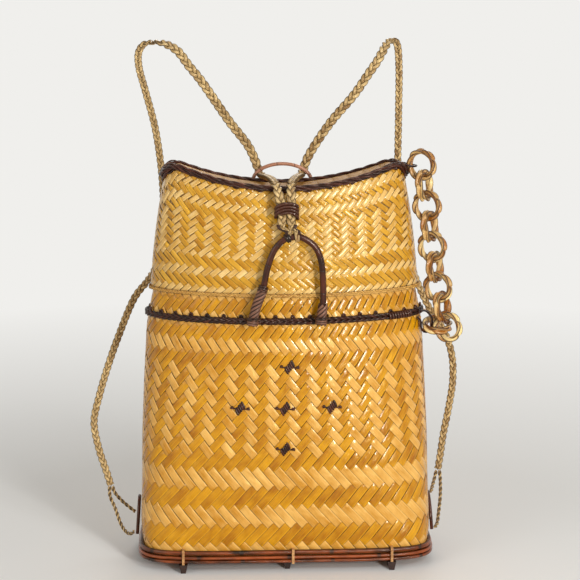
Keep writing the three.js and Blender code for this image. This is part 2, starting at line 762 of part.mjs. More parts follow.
// Strap routes: points chosen by hand, in millimetres
const strapCentreLeft = -5
const strapCentreRight = 3.3
const strapRoutes = {
  left: {
    front: [
      [-5, -57.8, 331.4], [-5, -57, 338], [-5, -57, 347], [-5, -57, 355.5], [-5, -55.2, 360.8],
      [-5, -50.5, 364.4], [-5, -44.4, 365.5],
    ],
    shoulder: [
      [-5, -43.3, 365.6], [-5.3, -36, 364.3], [-7, -20, 362.8], [-9.5, -3, 361.8], [-14.2, 25, 360.4],
      [-17.6, 42, 360.9], [-18.8, 47.2, 361.7], [-21.8, 52.8, 366.8], [-26.5, 54.5, 378], [-32.7, 54.5, 390.6],
      [-49.8, 54, 413], [-78, 54, 454], [-88.5, 54, 467], [-99.7, 56, 481.5], [-112, 60, 488], [-123, 64, 489],
    ],
    back: [
      [-124, 64.4, 489], [-131, 67.8, 487], [-136.5, 76, 479], [-137, 88, 464], [-131, 101, 438],
      [-122, 109, 400], [-116, 111, 350], [-115.5, 102, 303], [-121, 83, 272], [-131, 67, 256.5],
      [-143.3, 61, 241.6], [-159.8, 60, 203.3], [-170.7, 58, 173.2], [-179.4, 55, 144.8], [-185, 49.5, 119.2],
      [-180.5, 40, 95], [-172.8, 31, 73], [-168.8, 26, 61.5],
    ],
    inner: [[-166.8, 25.2, 60.1], [-165.5, 25, 55], [-158.5, 23.5, 46.5], [-150.5, 22.3, 39.5], [-145.3, 21.4, 35.5]],
    outer: [[-170.1, 25.6, 60.1], [-169.6, 24, 51], [-165, 19, 41], [-157.6, 8, 24.5], [-150.5, -3, 20.8], [-146, -8.6, 24.5]],
  },
  right: {
    front: [
      [3.3, -57.8, 331.4], [3.3, -57, 338], [3.3, -57, 347], [3.3, -57, 355.5], [3.3, -55.2, 360.8],
      [3.3, -50.5, 364.4], [3.3, -44.4, 365.5],
    ],
    shoulder: [
      [3.3, -43.3, 365.6], [3.7, -36, 364.3], [6, -20, 362.8], [9, -3, 361.8], [13.2, 25, 360.4],
      [16.6, 42, 360.9], [17.8, 47.2, 361.7], [20.8, 52.8, 366.8], [25.5, 54.5, 378.9], [46.3, 54.5, 411],
      [70.4, 54, 439.6], [84, 54, 459.5], [92.6, 55, 471.8], [98.3, 59, 481.5], [102, 63.7, 486.8], [105.8, 69, 489.3],
    ],
    back: [
      [106.6, 70.1, 489.7], [109.5, 74.6, 490], [114, 83, 484], [117, 94, 463], [118.5, 107, 415],
      [119, 111, 350], [122, 104, 303], [132, 91, 262], [146, 78, 228], [162, 66, 202],
      [169, 61, 180], [170, 58, 155], [166, 55, 128], [160, 47, 103], [156, 38, 84],
      [153, 31, 71.5],
    ],
    inner: [[151.2, 30.1, 70], [149.6, 27.5, 64.5], [146.6, 20, 58], [143.9, 10.5, 54.6]],
    outer: [[154.5, 30.2, 70], [155, 27, 61], [154.2, 19, 48], [151.5, 9, 34], [148.8, -1, 25.5], [146, -8.6, 24.5]],
  },
}
const acrossHint = new THREE.Vector3(1, 0, 0)
const backHint = new THREE.Vector3(0.6, 0.8, 0)

// The routes were chosen for this height of the lid's top. Above the legs they rise and fall with the real one.
const routeLidTopHeight = 361
const routeFrontHeight = 331.4
const routeLegHeight = 71.5
function routeLift(height) {
  const share = (height - routeLegHeight) / (routeFrontHeight - routeLegHeight)
  return (lidTopHeight - routeLidTopHeight) * THREE.MathUtils.clamp(share, 0, 1)
}

function routeOf(points) {
  const lifted = points.map(([x, y, z]) => new THREE.Vector3(x, y, z + routeLift(z)))
  return new THREE.CatmullRomCurve3(lifted, false, 'centripetal')
}

function makeStrap(points, width, thickness, steps, hint) {
  const section = ovalSection(width, thickness, strapSides)
  return sweep(routeOf(points), steps, () => section, hint)
}
for (const [side, routes] of Object.entries(strapRoutes)) {
  const front = makeStrap(routes.front, strapWidth, strapThickness, 12, acrossHint)
  addPiece(closure, `strap_${side}_front`, front, strapCane)
  const shoulder = makeStrap(routes.shoulder, strapWidth, strapThickness, 30, acrossHint)
  addPiece(closure, `strap_${side}_shoulder`, shoulder, strapCane)
  const back = makeStrap(routes.back, lowerStrapWidth, lowerStrapThickness, 34, acrossHint)
  addPiece(closure, `strap_${side}_back`, back, strapCane)
  for (const leg of ['inner', 'outer']) {
    const points = routes[leg].map(([x, y, z]) => new THREE.Vector3(x, y, z))
    addPiece(closure, `strap_${side}_leg_${leg}`, cane(points, legThickness, 8), strapCane)
  }
}

// Slide ring: an oval helix of cane round both straps, from a formula
const ringSteps = 20
const strapMiddle = (strapCentreLeft + strapCentreRight) / 2
const boreHalfWidth = (strapCentreRight - strapCentreLeft + strapWidth) / 2 + seatGap
const boreHalfDepth = strapThickness / 2 + seatGap
const ringEndRadius = boreHalfDepth + ringCaneThickness / 2 + seatGap
const ringStraightHalf = boreHalfWidth + ringCaneThickness / 2 + seatGap - ringEndRadius
function ringPoint(turn) {
  const share = turn - Math.floor(turn)
  const quarterLength = (Math.PI / 2) * ringEndRadius
  const total = 4 * ringStraightHalf + 4 * quarterLength
  let run = share * total
  const height = ringHeightAboveFloor + (turn - ringTurns / 2) * ringPitch
  const place = (x, y) => new THREE.Vector3(strapMiddle + x, -ringOffset + y, height)
  if (run < 2 * ringStraightHalf) return place(-ringStraightHalf + run, -ringEndRadius)
  run -= 2 * ringStraightHalf
  if (run < 2 * quarterLength) {
    const angle = -Math.PI / 2 + run / ringEndRadius
    return place(ringStraightHalf + ringEndRadius * Math.cos(angle), ringEndRadius * Math.sin(angle))
  }
  run -= 2 * quarterLength
  if (run < 2 * ringStraightHalf) return place(ringStraightHalf - run, ringEndRadius)
  run -= 2 * ringStraightHalf
  const angle = Math.PI / 2 + run / ringEndRadius
  return place(-ringStraightHalf + ringEndRadius * Math.cos(angle), ringEndRadius * Math.sin(angle))
}
const ringPoints = Array.from({ length: Math.round(ringTurns * ringSteps) + 1 }, (_, i) => ringPoint(i / ringSteps))
console.log('slide_ring least gap', leastGap(ringPoints, ringCaneThickness, ringSteps).toFixed(2))
addPiece(closure, 'slide_ring', tubeThrough(ringPoints, ringCaneThickness, bandSides, seatGap), darkCane)

// Closure: the strap ends below the ring, and their wraps round the top of the front hoop
function hoopShareAt(across) {
  let best = 0
  let least = Infinity
  for (let i = 0; i <= sampleCount; i += 1) {
    const share = i / sampleCount
    const point = hoopPath.getPointAt(share)
    const away = Math.abs(point.x - across)
    if (point.z > hoopFootHeight + hoopHeight / 2 && away < least) {
      least = away
      best = share
    }
  }
  return best
}

const wrapBore = hoopThickness / 2 + 2.6 * seatGap
function makeWrap(across) {
  const share = hoopShareAt(across)
  const at = hoopPath.getPointAt(share)
  const along = hoopPath.getTangentAt(share)
  const bore = wrapBore
  const shape = new THREE.Shape()
  shape.absarc(0, 0, bore + wrapThickness, 0, 2 * Math.PI, false)
  const hole = new THREE.Path()
  hole.absarc(0, 0, bore, 0, 2 * Math.PI, true)
  shape.holes.push(hole)
  const geometry = new THREE.ExtrudeGeometry(shape, { depth: wrapWidth, bevelEnabled: false, curveSegments: 6 })
  geometry.translate(0, 0, -wrapWidth / 2)
  geometry.applyQuaternion(new THREE.Quaternion().setFromUnitVectors(up, along))
  geometry.translate(at.x, at.y, at.z)
  return geometry
}
const wrapSpread = 4.3
const closureLean = 1
const closureTop = ringHeightAboveFloor - closureDrop
const hoopTopAcross = 4.6
const wrapReach = wrapBore + wrapThickness
const closureSides = [
  ['left', hoopTopAcross - wrapSpread, strapCentreLeft, 'hoop_wrap_dark', darkCane],
  ['right', hoopTopAcross + wrapSpread, strapCentreRight, 'hoop_wrap_pale', strapCane],
]
for (const [side, across, above, wrapName, material] of closureSides) {
  addPiece(basket, wrapName, makeWrap(across), material)
  const seat = hoopPath.getPointAt(hoopShareAt(across))
  const top = new THREE.Vector3(above, -ringOffset - closureLean, closureTop)
  const legEnd = new THREE.Vector3(across, -hoopOffset, seat.z + wrapReach + 3 * seatGap)
  const points = [top, top.clone().addScaledVector(up, -1), legEnd.clone().addScaledVector(up, 1), legEnd]
  addPiece(basket, `closure_leg_${side}`, cane(points, closureLegThickness, 4), strapCane)
}

// Chain: each link hangs in the one before, turned a quarter; bands are oval rings
const evenTurn = 60 * degree
const oddTurn = -30 * degree
const bandRow = ovalSection(linkBandWidth, linkBandThickness, bandSides)

function makeLink() {
  const rows = []
  for (let i = 0; i < linkSteps; i += 1) {
    const angle = (2 * Math.PI * i) / linkSteps
    const middleHeight = linkHalfHeight - linkBandThickness / 2
    const middleWidth = linkHalfWidth - linkBandThickness / 2
    const at = new THREE.Vector3(middleWidth * Math.cos(angle), 0, middleHeight * Math.sin(angle))
    const out = new THREE.Vector3(Math.cos(angle) / middleWidth, 0, Math.sin(angle) / middleHeight).normalize()
    rows.push(bandRow.map(([width, depth]) => {
      return new THREE.Vector3(at.x + out.x * depth, width, at.z + out.z * depth)
    }))
  }
  return closedGrid(rows, { joined: true })
}

// The chain's own places: link centres and tilts, worked out from the pitch
const innerHalfWidth = linkHalfWidth - linkBandThickness
const bandSagitta = innerHalfWidth - Math.sqrt(innerHalfWidth ** 2 - (linkBandWidth / 2) ** 2)
const linkPitch = 2 * (linkHalfHeight - linkBandThickness) - bandSagitta - linkGap
const chainTilt = Math.atan((lidHalfWidth - lidTopHalfWidth) / (lidTopHeight - lidRimHeight))
const chainFirst = new THREE.Vector3(lidTopHalfWidth + chainReach, -chainOffset, lidTopHeight + chainRise)
const barDrop = linkHalfHeight - linkBandThickness / 2
// How far each link swings out about the side of the link before it, from the second to the ninth
const chainSwings = [0, 0, 0, 0, 0, -5 * degree, 0, -9 * degree]

const firstTurn = new THREE.Quaternion().setFromAxisAngle(new THREE.Vector3(0, 1, 0), -chainTilt)
firstTurn.multiply(new THREE.Quaternion().setFromAxisAngle(up, oddTurn))
const linkPlaces = [{ at: chainFirst, turn: firstTurn }]
for (const swing of chainSwings) {
  const before = linkPlaces.at(-1)
  const pivot = new THREE.Vector3(0, 0, -barDrop).applyQuaternion(before.turn).add(before.at)
  const axis = new THREE.Vector3(1, 0, 0).applyQuaternion(before.turn)
  const hung = before.turn.clone()
  hung.multiply(new THREE.Quaternion().setFromAxisAngle(new THREE.Vector3(1, 0, 0), swing))
  const at = new THREE.Vector3(0, 0, barDrop - linkPitch).applyQuaternion(hung).add(pivot)
  const quarter = linkPlaces.length % 2 ? evenTurn - oddTurn : oddTurn - evenTurn
  const turn = hung.multiply(new THREE.Quaternion().setFromAxisAngle(up, quarter))
  linkPlaces.push({ at, turn, pivot, axis })
}

function placeLink(geometry, { at, turn }) {
  geometry.applyQuaternion(turn)
  geometry.translate(at.x, at.y, at.z)
  return geometry
}
const plain = (vector) => vector.toArray().map((value) => value.toFixed(3)).join(' ')
linkPlaces.forEach((place, index) => {
  const name = `chain_link_${String(index + 1).padStart(2, '0')}`
  addPiece(chain, name, placeLink(makeLink(), place), ringCane)
  if (place.pivot) console.log(name, 'hinge', plain(place.pivot), 'axis', plain(place.axis), 'centre', plain(place.at))
})

// The last link lies nearly flat, with its right side inside the ninth link's hole
const lastTilt = 16 * degree
const lastOffset = new THREE.Vector3(-lastLinkBack, lastLinkSet, lastLinkRise)
const lastPlace = linkPlaces.at(-1).at.clone().add(lastOffset)
const chainDepth = lastPlace.y
const lastGeometry = makeLink()
lastGeometry.rotateX(Math.PI / 2 + lastTilt)
lastGeometry.translate(lastPlace.x, lastPlace.y, lastPlace.z)
addPiece(chain, 'chain_link_10', lastGeometry, ringCane)
console.log('chain_link_10', 'centre', plain(lastPlace))

// Cane tie at the lid's corner, round the left side of the first link
const tieReachShare = 0.57
const tieEndInset = 6.5
const tieRise = 2.1
function makeChainTie() {
  const barReach = linkHalfWidth - linkBandThickness / 2
  const bar = new THREE.Vector3(-barReach, 0, 0).applyQuaternion(firstTurn).add(chainFirst)
  const reach = tieReachShare * (linkBandWidth + chainTieThickness)
  const near = bar.x - linkBandWidth
  const end = lidTopHalfWidth - tieEndInset
  const points = []
  const endAt = (y) => new THREE.Vector3(end, y, lidTopAt(end, y) + chainTieThickness / 2 + tieRise)
  points.push(endAt(bar.y - reach))
  points.push(new THREE.Vector3(near, bar.y - reach, bar.z + tieRise))
  const turnSteps = 4
  for (let i = 0; i <= turnSteps; i += 1) {
    const angle = -Math.PI / 2 + (Math.PI * i) / turnSteps
    points.push(new THREE.Vector3(bar.x + reach * Math.cos(angle), bar.y + reach * Math.sin(angle), bar.z))
  }
  points.push(new THREE.Vector3(near, bar.y + reach, bar.z + tieRise))
  points.push(endAt(bar.y + reach))
  return cane(points, chainTieThickness, 20)
}
addPiece(lid, 'chain_top_tie', makeChainTie(), darkCane)

// Loops that hang from the mouth braid and hold the last link's left side
function wallAcrossAt(depth, height) {
  const { halfWidth, halfDepth, squareness } = bodyAt(height)
  return halfWidth * (1 - Math.abs(depth / halfDepth) ** squareness) ** (1 / squareness)
}

const cornerReach = 1.08
const wallSlant = 1.7
function makeRimLoop(offset) {
  const y = chainDepth + offset
  const seat = wallSlant * (seatGap + chainTieThickness / 2)
  const round = Math.asin(offset / (linkHalfHeight - linkBandThickness / 2))
  const barX = lastPlace.x - (linkHalfWidth - linkBandThickness / 2) * Math.cos(round)
  const beside = linkBandWidth / 2 + 1.5 * seatGap + chainTieThickness / 2
  const below = Math.hypot(linkBandWidth, linkBandThickness) / 2 + seatGap + chainTieThickness / 2
  const underBraid = mouthHeight - braidHeight / 2 - chainTieThickness
  const wallX = wallAcrossAt(y, underBraid) + seat + seatGap
  const braidX = wallAcrossAt(y, mouthHeight) + braidSeat + braidThickness + seat + seatGap
  const barZ = lastPlace.z + offset * Math.sin(lastTilt)
  const points = [
    new THREE.Vector3(braidX, y, mouthHeight + 1),
    new THREE.Vector3(Math.max(barX, braidX + 1), y, mouthHeight),
    new THREE.Vector3(barX + beside + seatGap, y, (mouthHeight + barZ) / 2),
  ]
  const turnSteps = 6
  for (let i = 0; i <= turnSteps; i += 1) {
    const angle = (-Math.PI * i) / turnSteps
    const reach = i > 0 && i < turnSteps - 1 ? below * cornerReach : beside
    points.push(new THREE.Vector3(barX + reach * Math.cos(angle), y, barZ + reach * Math.sin(angle)))
  }
  points.push(new THREE.Vector3(barX - beside - seatGap, y, barZ + below))
  points.push(new THREE.Vector3(wallX, y, underBraid))
  return cane(points, chainTieThickness, 24)
}
const rimLoopDarkOffset = -3
const rimLoopPaleOffset = 1
addPiece(basket, 'chain_rim_loop_dark', makeRimLoop(rimLoopDarkOffset), darkCane)
addPiece(basket, 'chain_rim_loop_pale', makeRimLoop(rimLoopPaleOffset), paleCane)

// Ornaments: stitched diamonds with small wings, following the wall
const ornamentShares = [
  [0, -1], [0.5, 0], [0.62, 0.36], [1, 0.1], [0.82, 0.62], [0.4, 0.55], [0, 1],
  [-0.4, 0.55], [-0.82, 0.62], [-1, 0.1], [-0.62, 0.36], [-0.5, 0],
]
function makeOrnament(across, height) {
  const shape = new THREE.Shape(ornamentShares.map(([x, y]) => {
    return new THREE.Vector2(ornamentHalfWidth * x, ornamentHalfHeight * y)
  }))
  const geometry = new THREE.ExtrudeGeometry(shape, { depth: ornamentThickness, bevelEnabled: false })
  const place = geometry.attributes.position
  for (let i = 0; i < place.count; i += 1) {
    const x = across + place.getX(i)
    const z = height + place.getY(i)
    const lift = 2 * seatGap + place.getZ(i)
    place.setXYZ(i, x, wallDepthAt(x, z, -1) - lift, z)
  }
  geometry.computeVertexNormals()
  return geometry
}
const ornaments = [
  ['top', 0, 1], ['left', -1, 0], ['centre', 0, 0], ['right', 1, 0], ['bottom', 0, -1],
]
for (const [place, across, rise] of ornaments) {
  const x = ornamentCentreX + across * ornamentPitchX
  const z = ornamentCentreZ + rise * ornamentPitchZ
  addPiece(basket, `ornament_${place}`, makeOrnament(x, z), darkCane)
}

const packBasket = new THREE.Group()
packBasket.add(basket, lid, closure, chain)
export default packBasket
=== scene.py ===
"""Looks of the plaited pack basket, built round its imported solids. Metres, +Z up, -Y the front."""
import math

import bpy
import numpy as np
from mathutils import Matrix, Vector


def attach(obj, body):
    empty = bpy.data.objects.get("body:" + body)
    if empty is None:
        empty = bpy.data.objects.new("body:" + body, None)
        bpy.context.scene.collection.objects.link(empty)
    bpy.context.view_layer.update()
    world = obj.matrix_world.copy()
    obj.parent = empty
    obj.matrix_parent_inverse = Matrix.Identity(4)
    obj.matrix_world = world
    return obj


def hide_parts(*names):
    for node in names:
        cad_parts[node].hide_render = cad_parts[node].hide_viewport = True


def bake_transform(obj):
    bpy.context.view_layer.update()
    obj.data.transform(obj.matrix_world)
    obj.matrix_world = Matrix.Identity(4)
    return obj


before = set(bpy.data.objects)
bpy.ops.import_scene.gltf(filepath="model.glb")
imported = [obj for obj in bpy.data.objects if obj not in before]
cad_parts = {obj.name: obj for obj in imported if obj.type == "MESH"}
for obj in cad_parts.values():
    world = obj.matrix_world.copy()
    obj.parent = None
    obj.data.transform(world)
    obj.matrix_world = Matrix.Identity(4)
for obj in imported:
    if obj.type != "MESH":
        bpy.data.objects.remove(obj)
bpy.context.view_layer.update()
MM = 0.001


# Camera: a little to the left of the front and 11 degrees up, as in the photograph
def aim(thing, target):
    thing.rotation_mode = "QUATERNION"
    thing.rotation_quaternion = (Vector(target) - thing.location).to_track_quat("-Z", "Y")


PHOTO_SIDE = 580
FOCAL_PIXELS = 2000
SENSOR_WIDTH = 36
CAMERA_TARGET = Vector((0.0052, 0, 0.2587))
CAMERA_DISTANCE = 1.9
camera_data = bpy.data.cameras.new("photo_camera")
camera_data.sensor_width = SENSOR_WIDTH
camera_data.lens = SENSOR_WIDTH * FOCAL_PIXELS / PHOTO_SIDE
camera = bpy.data.objects.new("photo_camera", camera_data)
bpy.context.scene.collection.objects.link(camera)
turn, rise = math.radians(-3), math.radians(11)
camera.location = CAMERA_TARGET + CAMERA_DISTANCE * Vector(
    (math.sin(turn) * math.cos(rise), -math.cos(turn) * math.cos(rise), math.sin(rise))
)
aim(camera, CAMERA_TARGET)
bpy.context.scene.camera = camera


# Node trees
def operator(operation, reflected=False):
    """A method of a term that adds one Math node, with the terms the other way round if reflected."""

    def added(term, *others):
        return term.maths(operation, *((*others, term) if reflected else (term, *others)))

    return added


class Term:
    """One value in a node tree. Arithmetic on it adds Math nodes."""

    def __init__(self, net, socket):
        self.net, self.socket = net, socket

    def other(self, place):
        return Term(self.net, self.socket.node.outputs[place])

    def maths(self, operation, *terms):
        return self.net.node("ShaderNodeMath", {"operation": operation}, *terms)

    __add__ = operator("ADD")
    __radd__ = operator("ADD", reflected=True)
    __sub__ = operator("SUBTRACT")
    __rsub__ = operator("SUBTRACT", reflected=True)
    __mul__ = operator("MULTIPLY")
    __rmul__ = operator("MULTIPLY", reflected=True)
    __truediv__ = operator("DIVIDE")
    __mod__ = operator("FLOORED_MODULO")
    __lt__ = operator("LESS_THAN")
    __gt__ = operator("GREATER_THAN")
    __abs__ = operator("ABSOLUTE")
    power = operator("POWER")
    floor = operator("FLOOR")
    cosine = operator("COSINE")
    sine = operator("SINE")


class Net:
    """A node tree that is written as calls: a node's type, its settings, and its sockets' values."""

    def __init__(self, tree):
        self.tree = tree

    def node(self, kind, settings=None, *terms, pick=0, **named):
        made = self.tree.nodes.new(kind)
        for name, value in (settings or {}).items():
            setattr(made, name, value)
        for place, value in [*enumerate(terms), *named.items()]:
            socket = made.inputs[place]
            if isinstance(value, Term):
                self.tree.links.new(value.socket, socket)
            elif value is not None:
                socket.default_value = value
        return Term(self, made.outputs[pick])

    def scaled(self, vector, by):
        return self.node("ShaderNodeVectorMath", {"operation": "SCALE"}, vector, None, None, by)

    def summed(self, first, second):
        return self.node("ShaderNodeVectorMath", {"operation": "ADD"}, first, second)

    def joined(self, x, y, z):
        return self.node("ShaderNodeCombineXYZ", None, x, y, z)

    def named(self, name, kind="FLOAT"):
        """A geometry's attribute."""
        return self.node("GeometryNodeInputNamedAttribute", {"data_type": kind}, name)

    def stored(self, geometry, name, value, kind="FLOAT"):
        """The geometry with a value kept on its points."""
        settings = {"data_type": kind, "domain": "POINT"}
        return self.node("GeometryNodeStoreNamedAttribute", settings, geometry, None, name, value)

    def repeated(self, line, count):
        return self.node("GeometryNodeDuplicateElements", {"domain": "SPLINE"}, line, None, count)

    def chance(self, which, seed):
        """A number from 0 to 1, the same every time for the same count and seed."""
        return self.node("FunctionNodeRandomValue", {"data_type": "FLOAT"}, None, None, 0.0, 1.0,
                         None, None, None, which, seed, pick=1)


def new_tree(name, inputs):
    """A Geometry Nodes tree with named inputs, and its input values by name."""
    tree = bpy.data.node_groups.new(name, "GeometryNodeTree")
    tree.interface.new_socket("Geometry", in_out="OUTPUT", socket_type="NodeSocketGeometry")
    tree.interface.new_socket("Geometry", in_out="INPUT", socket_type="NodeSocketGeometry")
    for kind, labels in inputs.items():
        for label in labels:
            tree.interface.new_socket(label, in_out="INPUT", socket_type="NodeSocket" + kind)
    net = Net(tree)
    entry = tree.nodes.new("NodeGroupInput")
    return net, {socket.name: Term(net, socket) for socket in entry.outputs if socket.name}


def swept(net, line, profile, thickness, width, girth, finish):
    """The end of a tree: a profile swept along lines, as real, smooth faces with their material."""
    charted = net.stored(profile, "across", net.node("GeometryNodeInputPosition"), "FLOAT_VECTOR")
    half = net.joined(thickness * 0.5, width * 0.5, 1.0)
    sized = net.node("GeometryNodeTransform", None, charted, None, None, half)
    tube = net.node("GeometryNodeCurveToMesh", None, line, sized, girth, True)
    real = net.node("GeometryNodeRealizeInstances", None, tube)
    smooth = net.node("GeometryNodeSetShadeSmooth", None, real)
    dressed = net.node("GeometryNodeSetMaterial", None, smooth, None, finish)
    end = net.tree.nodes.new("NodeGroupOutput")
    net.tree.links.new(dressed.socket, end.inputs[0])
    return net.tree


MOST_STRANDS = 13


def strands_tree():
    """Strands laid, plaited or wound along a line whose points carry a side and a front direction."""
    net, given = new_tree("strands_on_a_line", {
        "Int": ("Strands", "Sides", "Seed"),
        "Float": ("Half width", "Half depth", "Lay length", "Beats", "Start turn", "Strand width",
                  "Strand thickness", "Flatness"),
        "Material": ("Finish",),
    })
    line = net.node("GeometryNodeMeshToCurve", None, given["Geometry"])
    many = net.repeated(line, given["Strands"])
    which = many.other(1)
    run = net.node("GeometryNodeSplineParameter", pick=1)
    chance = net.chance(which + net.named("line") * MOST_STRANDS, given["Seed"])
    turns = run / given["Lay length"] + which / given["Strands"] + given["Start turn"]
    angle = turns * (2 * math.pi)
    side, front = net.named("side", "FLOAT_VECTOR"), net.named("front", "FLOAT_VECTOR")
    shift = net.summed(
        net.scaled(side, angle.cosine() * given["Half width"]),
        net.scaled(front, (angle * given["Beats"]).sine() * given["Half depth"]),
    )
    outward = net.summed(net.scaled(side, angle.cosine()), net.scaled(front, angle.sine()))
    flat = given["Flatness"]
    facing = net.summed(net.scaled(front, flat), net.scaled(outward, 1 - flat))
    line = net.node("GeometryNodeSetCurveNormal", {"mode": "FREE"}, many, None, facing)
    line = net.stored(net.stored(line, "along", run), "strand", chance)
    line = net.node("GeometryNodeSetPosition", None, line, None, None, shift)
    circle = net.node("GeometryNodeCurvePrimitiveCircle", {"mode": "RADIUS"}, given["Sides"],
                      None, None, None, 1.0)
    return swept(net, line, circle, given["Strand thickness"], given["Strand width"],
                 net.named("girth"), given["Finish"])


SAMPLES_A_ROW = 6


def twill_tree():
    """Plaited strips over a former, whose chart counts strips round it and rows up it.

    Every strip is one curve that goes over and under the strips of the other slant. Rows of floats lie
    below and above, and columns of floats of two between them."""
    net, given = new_tree("twill_over_a_former", {
        "Object": ("Former",),
        "Int": ("Strips", "Samples", "Seed"),
        "Float": ("First row", "Slant", "Columns from", "Columns to", "Round shift", "Strip width",
                  "Lower start", "Lower period", "Lower falls", "Upper start", "Upper period",
                  "Upper falls", "Strip thickness", "Lift", "Seat", "Row length"),
        "Material": ("Finish",),
    })
    settings = {"transform_space": "ORIGINAL"}
    former_shape = net.node("GeometryNodeObjectInfo", settings, given["Former"], pick=4)
    first = net.node("GeometryNodeMeshLine", {"mode": "OFFSET"}, given["Samples"])
    many = net.repeated(net.node("GeometryNodeMeshToCurve", None, first), given["Strips"])
    which = many.other(1)
    place = net.node("GeometryNodeSplineParameter", pick=2)

    up = given["First row"] + (place + 0.5) / SAMPLES_A_ROW
    round_it = which + 0.5 + up * given["Slant"]
    falling, rising = (round_it + up).floor(), (round_it - up).floor()
    row = falling - rising
    low_rows = ((row - given["Lower start"]) % given["Lower period"]) < given["Lower falls"] - 0.5
    high_rows = ((row - given["Upper start"]) % given["Upper period"]) < given["Upper falls"] - 0.5
    columns = ((falling + rising) % 4) < 1.5
    above = row > given["Columns to"]
    below = row < given["Columns from"]
    falls_over = below * low_rows + above * high_rows + (1 - below) * (1 - above) * columns
    over = 0.5 + (0.5 - falls_over) * given["Slant"]

    at = net.joined((round_it - given["Round shift"]) % given["Strips"], up, 0.0)
    chart = net.named("chart", "FLOAT_VECTOR")

    def on_former(value, kind="FLOAT_VECTOR"):
        return net.node("GeometryNodeSampleUVSurface", {"data_type": kind}, former_shape, value, chart, at)

    spot = on_former(net.node("GeometryNodeInputPosition"))
    normal = on_former(net.named("out", "FLOAT_VECTOR"))
    width_share = on_former(net.named("closeness"), "FLOAT")
    height = given["Seat"] + (over * 2 - 1) * given["Lift"]
    kept = {"along": up * given["Row length"], "strand": net.chance(which, given["Seed"]), "over": over,
            "width_share": width_share}
    line = many
    for name, value in kept.items():
        line = net.stored(line, name, value)
    line = net.node("GeometryNodeSetCurveNormal", {"mode": "FREE"}, line, None, normal)
    missing = net.node("FunctionNodeBooleanMath", {"operation": "NOT"}, spot.other(1))
    line = net.stored(line, "off", missing, "BOOLEAN")
    target = net.summed(spot, net.scaled(normal, height))
    line = net.node("GeometryNodeSetPosition", None, line, None, target)
    line = net.node("GeometryNodeDeleteGeometry", {"domain": "POINT"}, line, net.named("off", "BOOLEAN"))
    profile = net.node("GeometryNodeMeshToCurve", None, given["Geometry"])
    return swept(net, line, profile, given["Strip thickness"], given["Strip width"],
                 net.named("width_share"), given["Finish"])


def linked(name, mesh):
    thing = bpy.data.objects.new(name, mesh)
    bpy.context.scene.collection.objects.link(thing)
    return thing


def grown(name, mesh, tree, values):
    """The plain mesh that a tree makes of a mesh with these input values."""
    seedling = linked(name + "_start", mesh)
    grower = seedling.modifiers.new("grower", "NODES")
    grower.node_group = tree
    places = {item.name: item.identifier for item in tree.interface.items_tree if item.in_out == "INPUT"}
    for label, value in values.items():
        grower[places[label]] = value
    graph = bpy.context.evaluated_depsgraph_get()
    result = bpy.data.meshes.new_from_object(seedling.evaluated_get(graph), depsgraph=graph)
    result.name = name
    seedling.modifiers.remove(grower)
    bpy.data.objects.remove(seedling)
    return linked(name, result)


def dressed_as(piece, node, ride):
    """A piece on the body that it moves with, in place of its CAD node."""
    if ride:
        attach(piece, ride)
    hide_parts(node)
    return piece


STRANDS = strands_tree()
TWILL = twill_tree()


# Materials
def paint(red, green, blue):
    """A colour given as it shows, 0 to 255, in the renderer's own scale."""
    return tuple(((value / 255) / 12.92 if value < 10.3 else ((value / 255 + 0.055) / 1.055) ** 2.4)
                 for value in (red, green, blue)) + (1.0,)


def mixed(net, share, first, second):
    return net.node("ShaderNodeMix", {"data_type": "RGBA"}, share, None, None, None, None, None,
                    first, second, pick=2)


def surface(net, name, pick=2):
    """An attribute of the piece that the material is on."""
    return net.node("ShaderNodeAttribute", {"attribute_name": name}, pick=pick)


def noise(net, seat, scale, detail, rough=0.5):
    return net.node("ShaderNodeTexNoise", None, Vector=seat, Scale=scale, Detail=detail, Roughness=rough)


def clamped(term):
    made = term.maths("ADD", term, 0.0)
    made.socket.node.use_clamp = True
    return made


def new_finish(name):
    material = bpy.data.materials.new(name)
    material.use_nodes = True
    return material, Net(material.node_tree), material.node_tree.nodes["Principled BSDF"]


def finished(net, shader, colour, rough, relief, depth):
    bump = net.node("ShaderNodeBump", None, Strength=1.0, Distance=depth, Height=relief)
    for label, term in {"Base Color": colour, "Roughness": rough, "Normal": bump}.items():
        net.tree.links.new(term.socket, shader.inputs[label])


# How fine fibres and patches are along, across and through a strand, and how they jump to the next strand
FIBRES_ALONG, FIBRES_ACROSS, FIBRES_THROUGH, FIBRES_JUMP = 38, 1500, 0.7, 57
PATCHES_ALONG, PATCHES_ACROSS, PATCHES_JUMP = 52, 0.4, 83
JOINTS_JUMP = 9


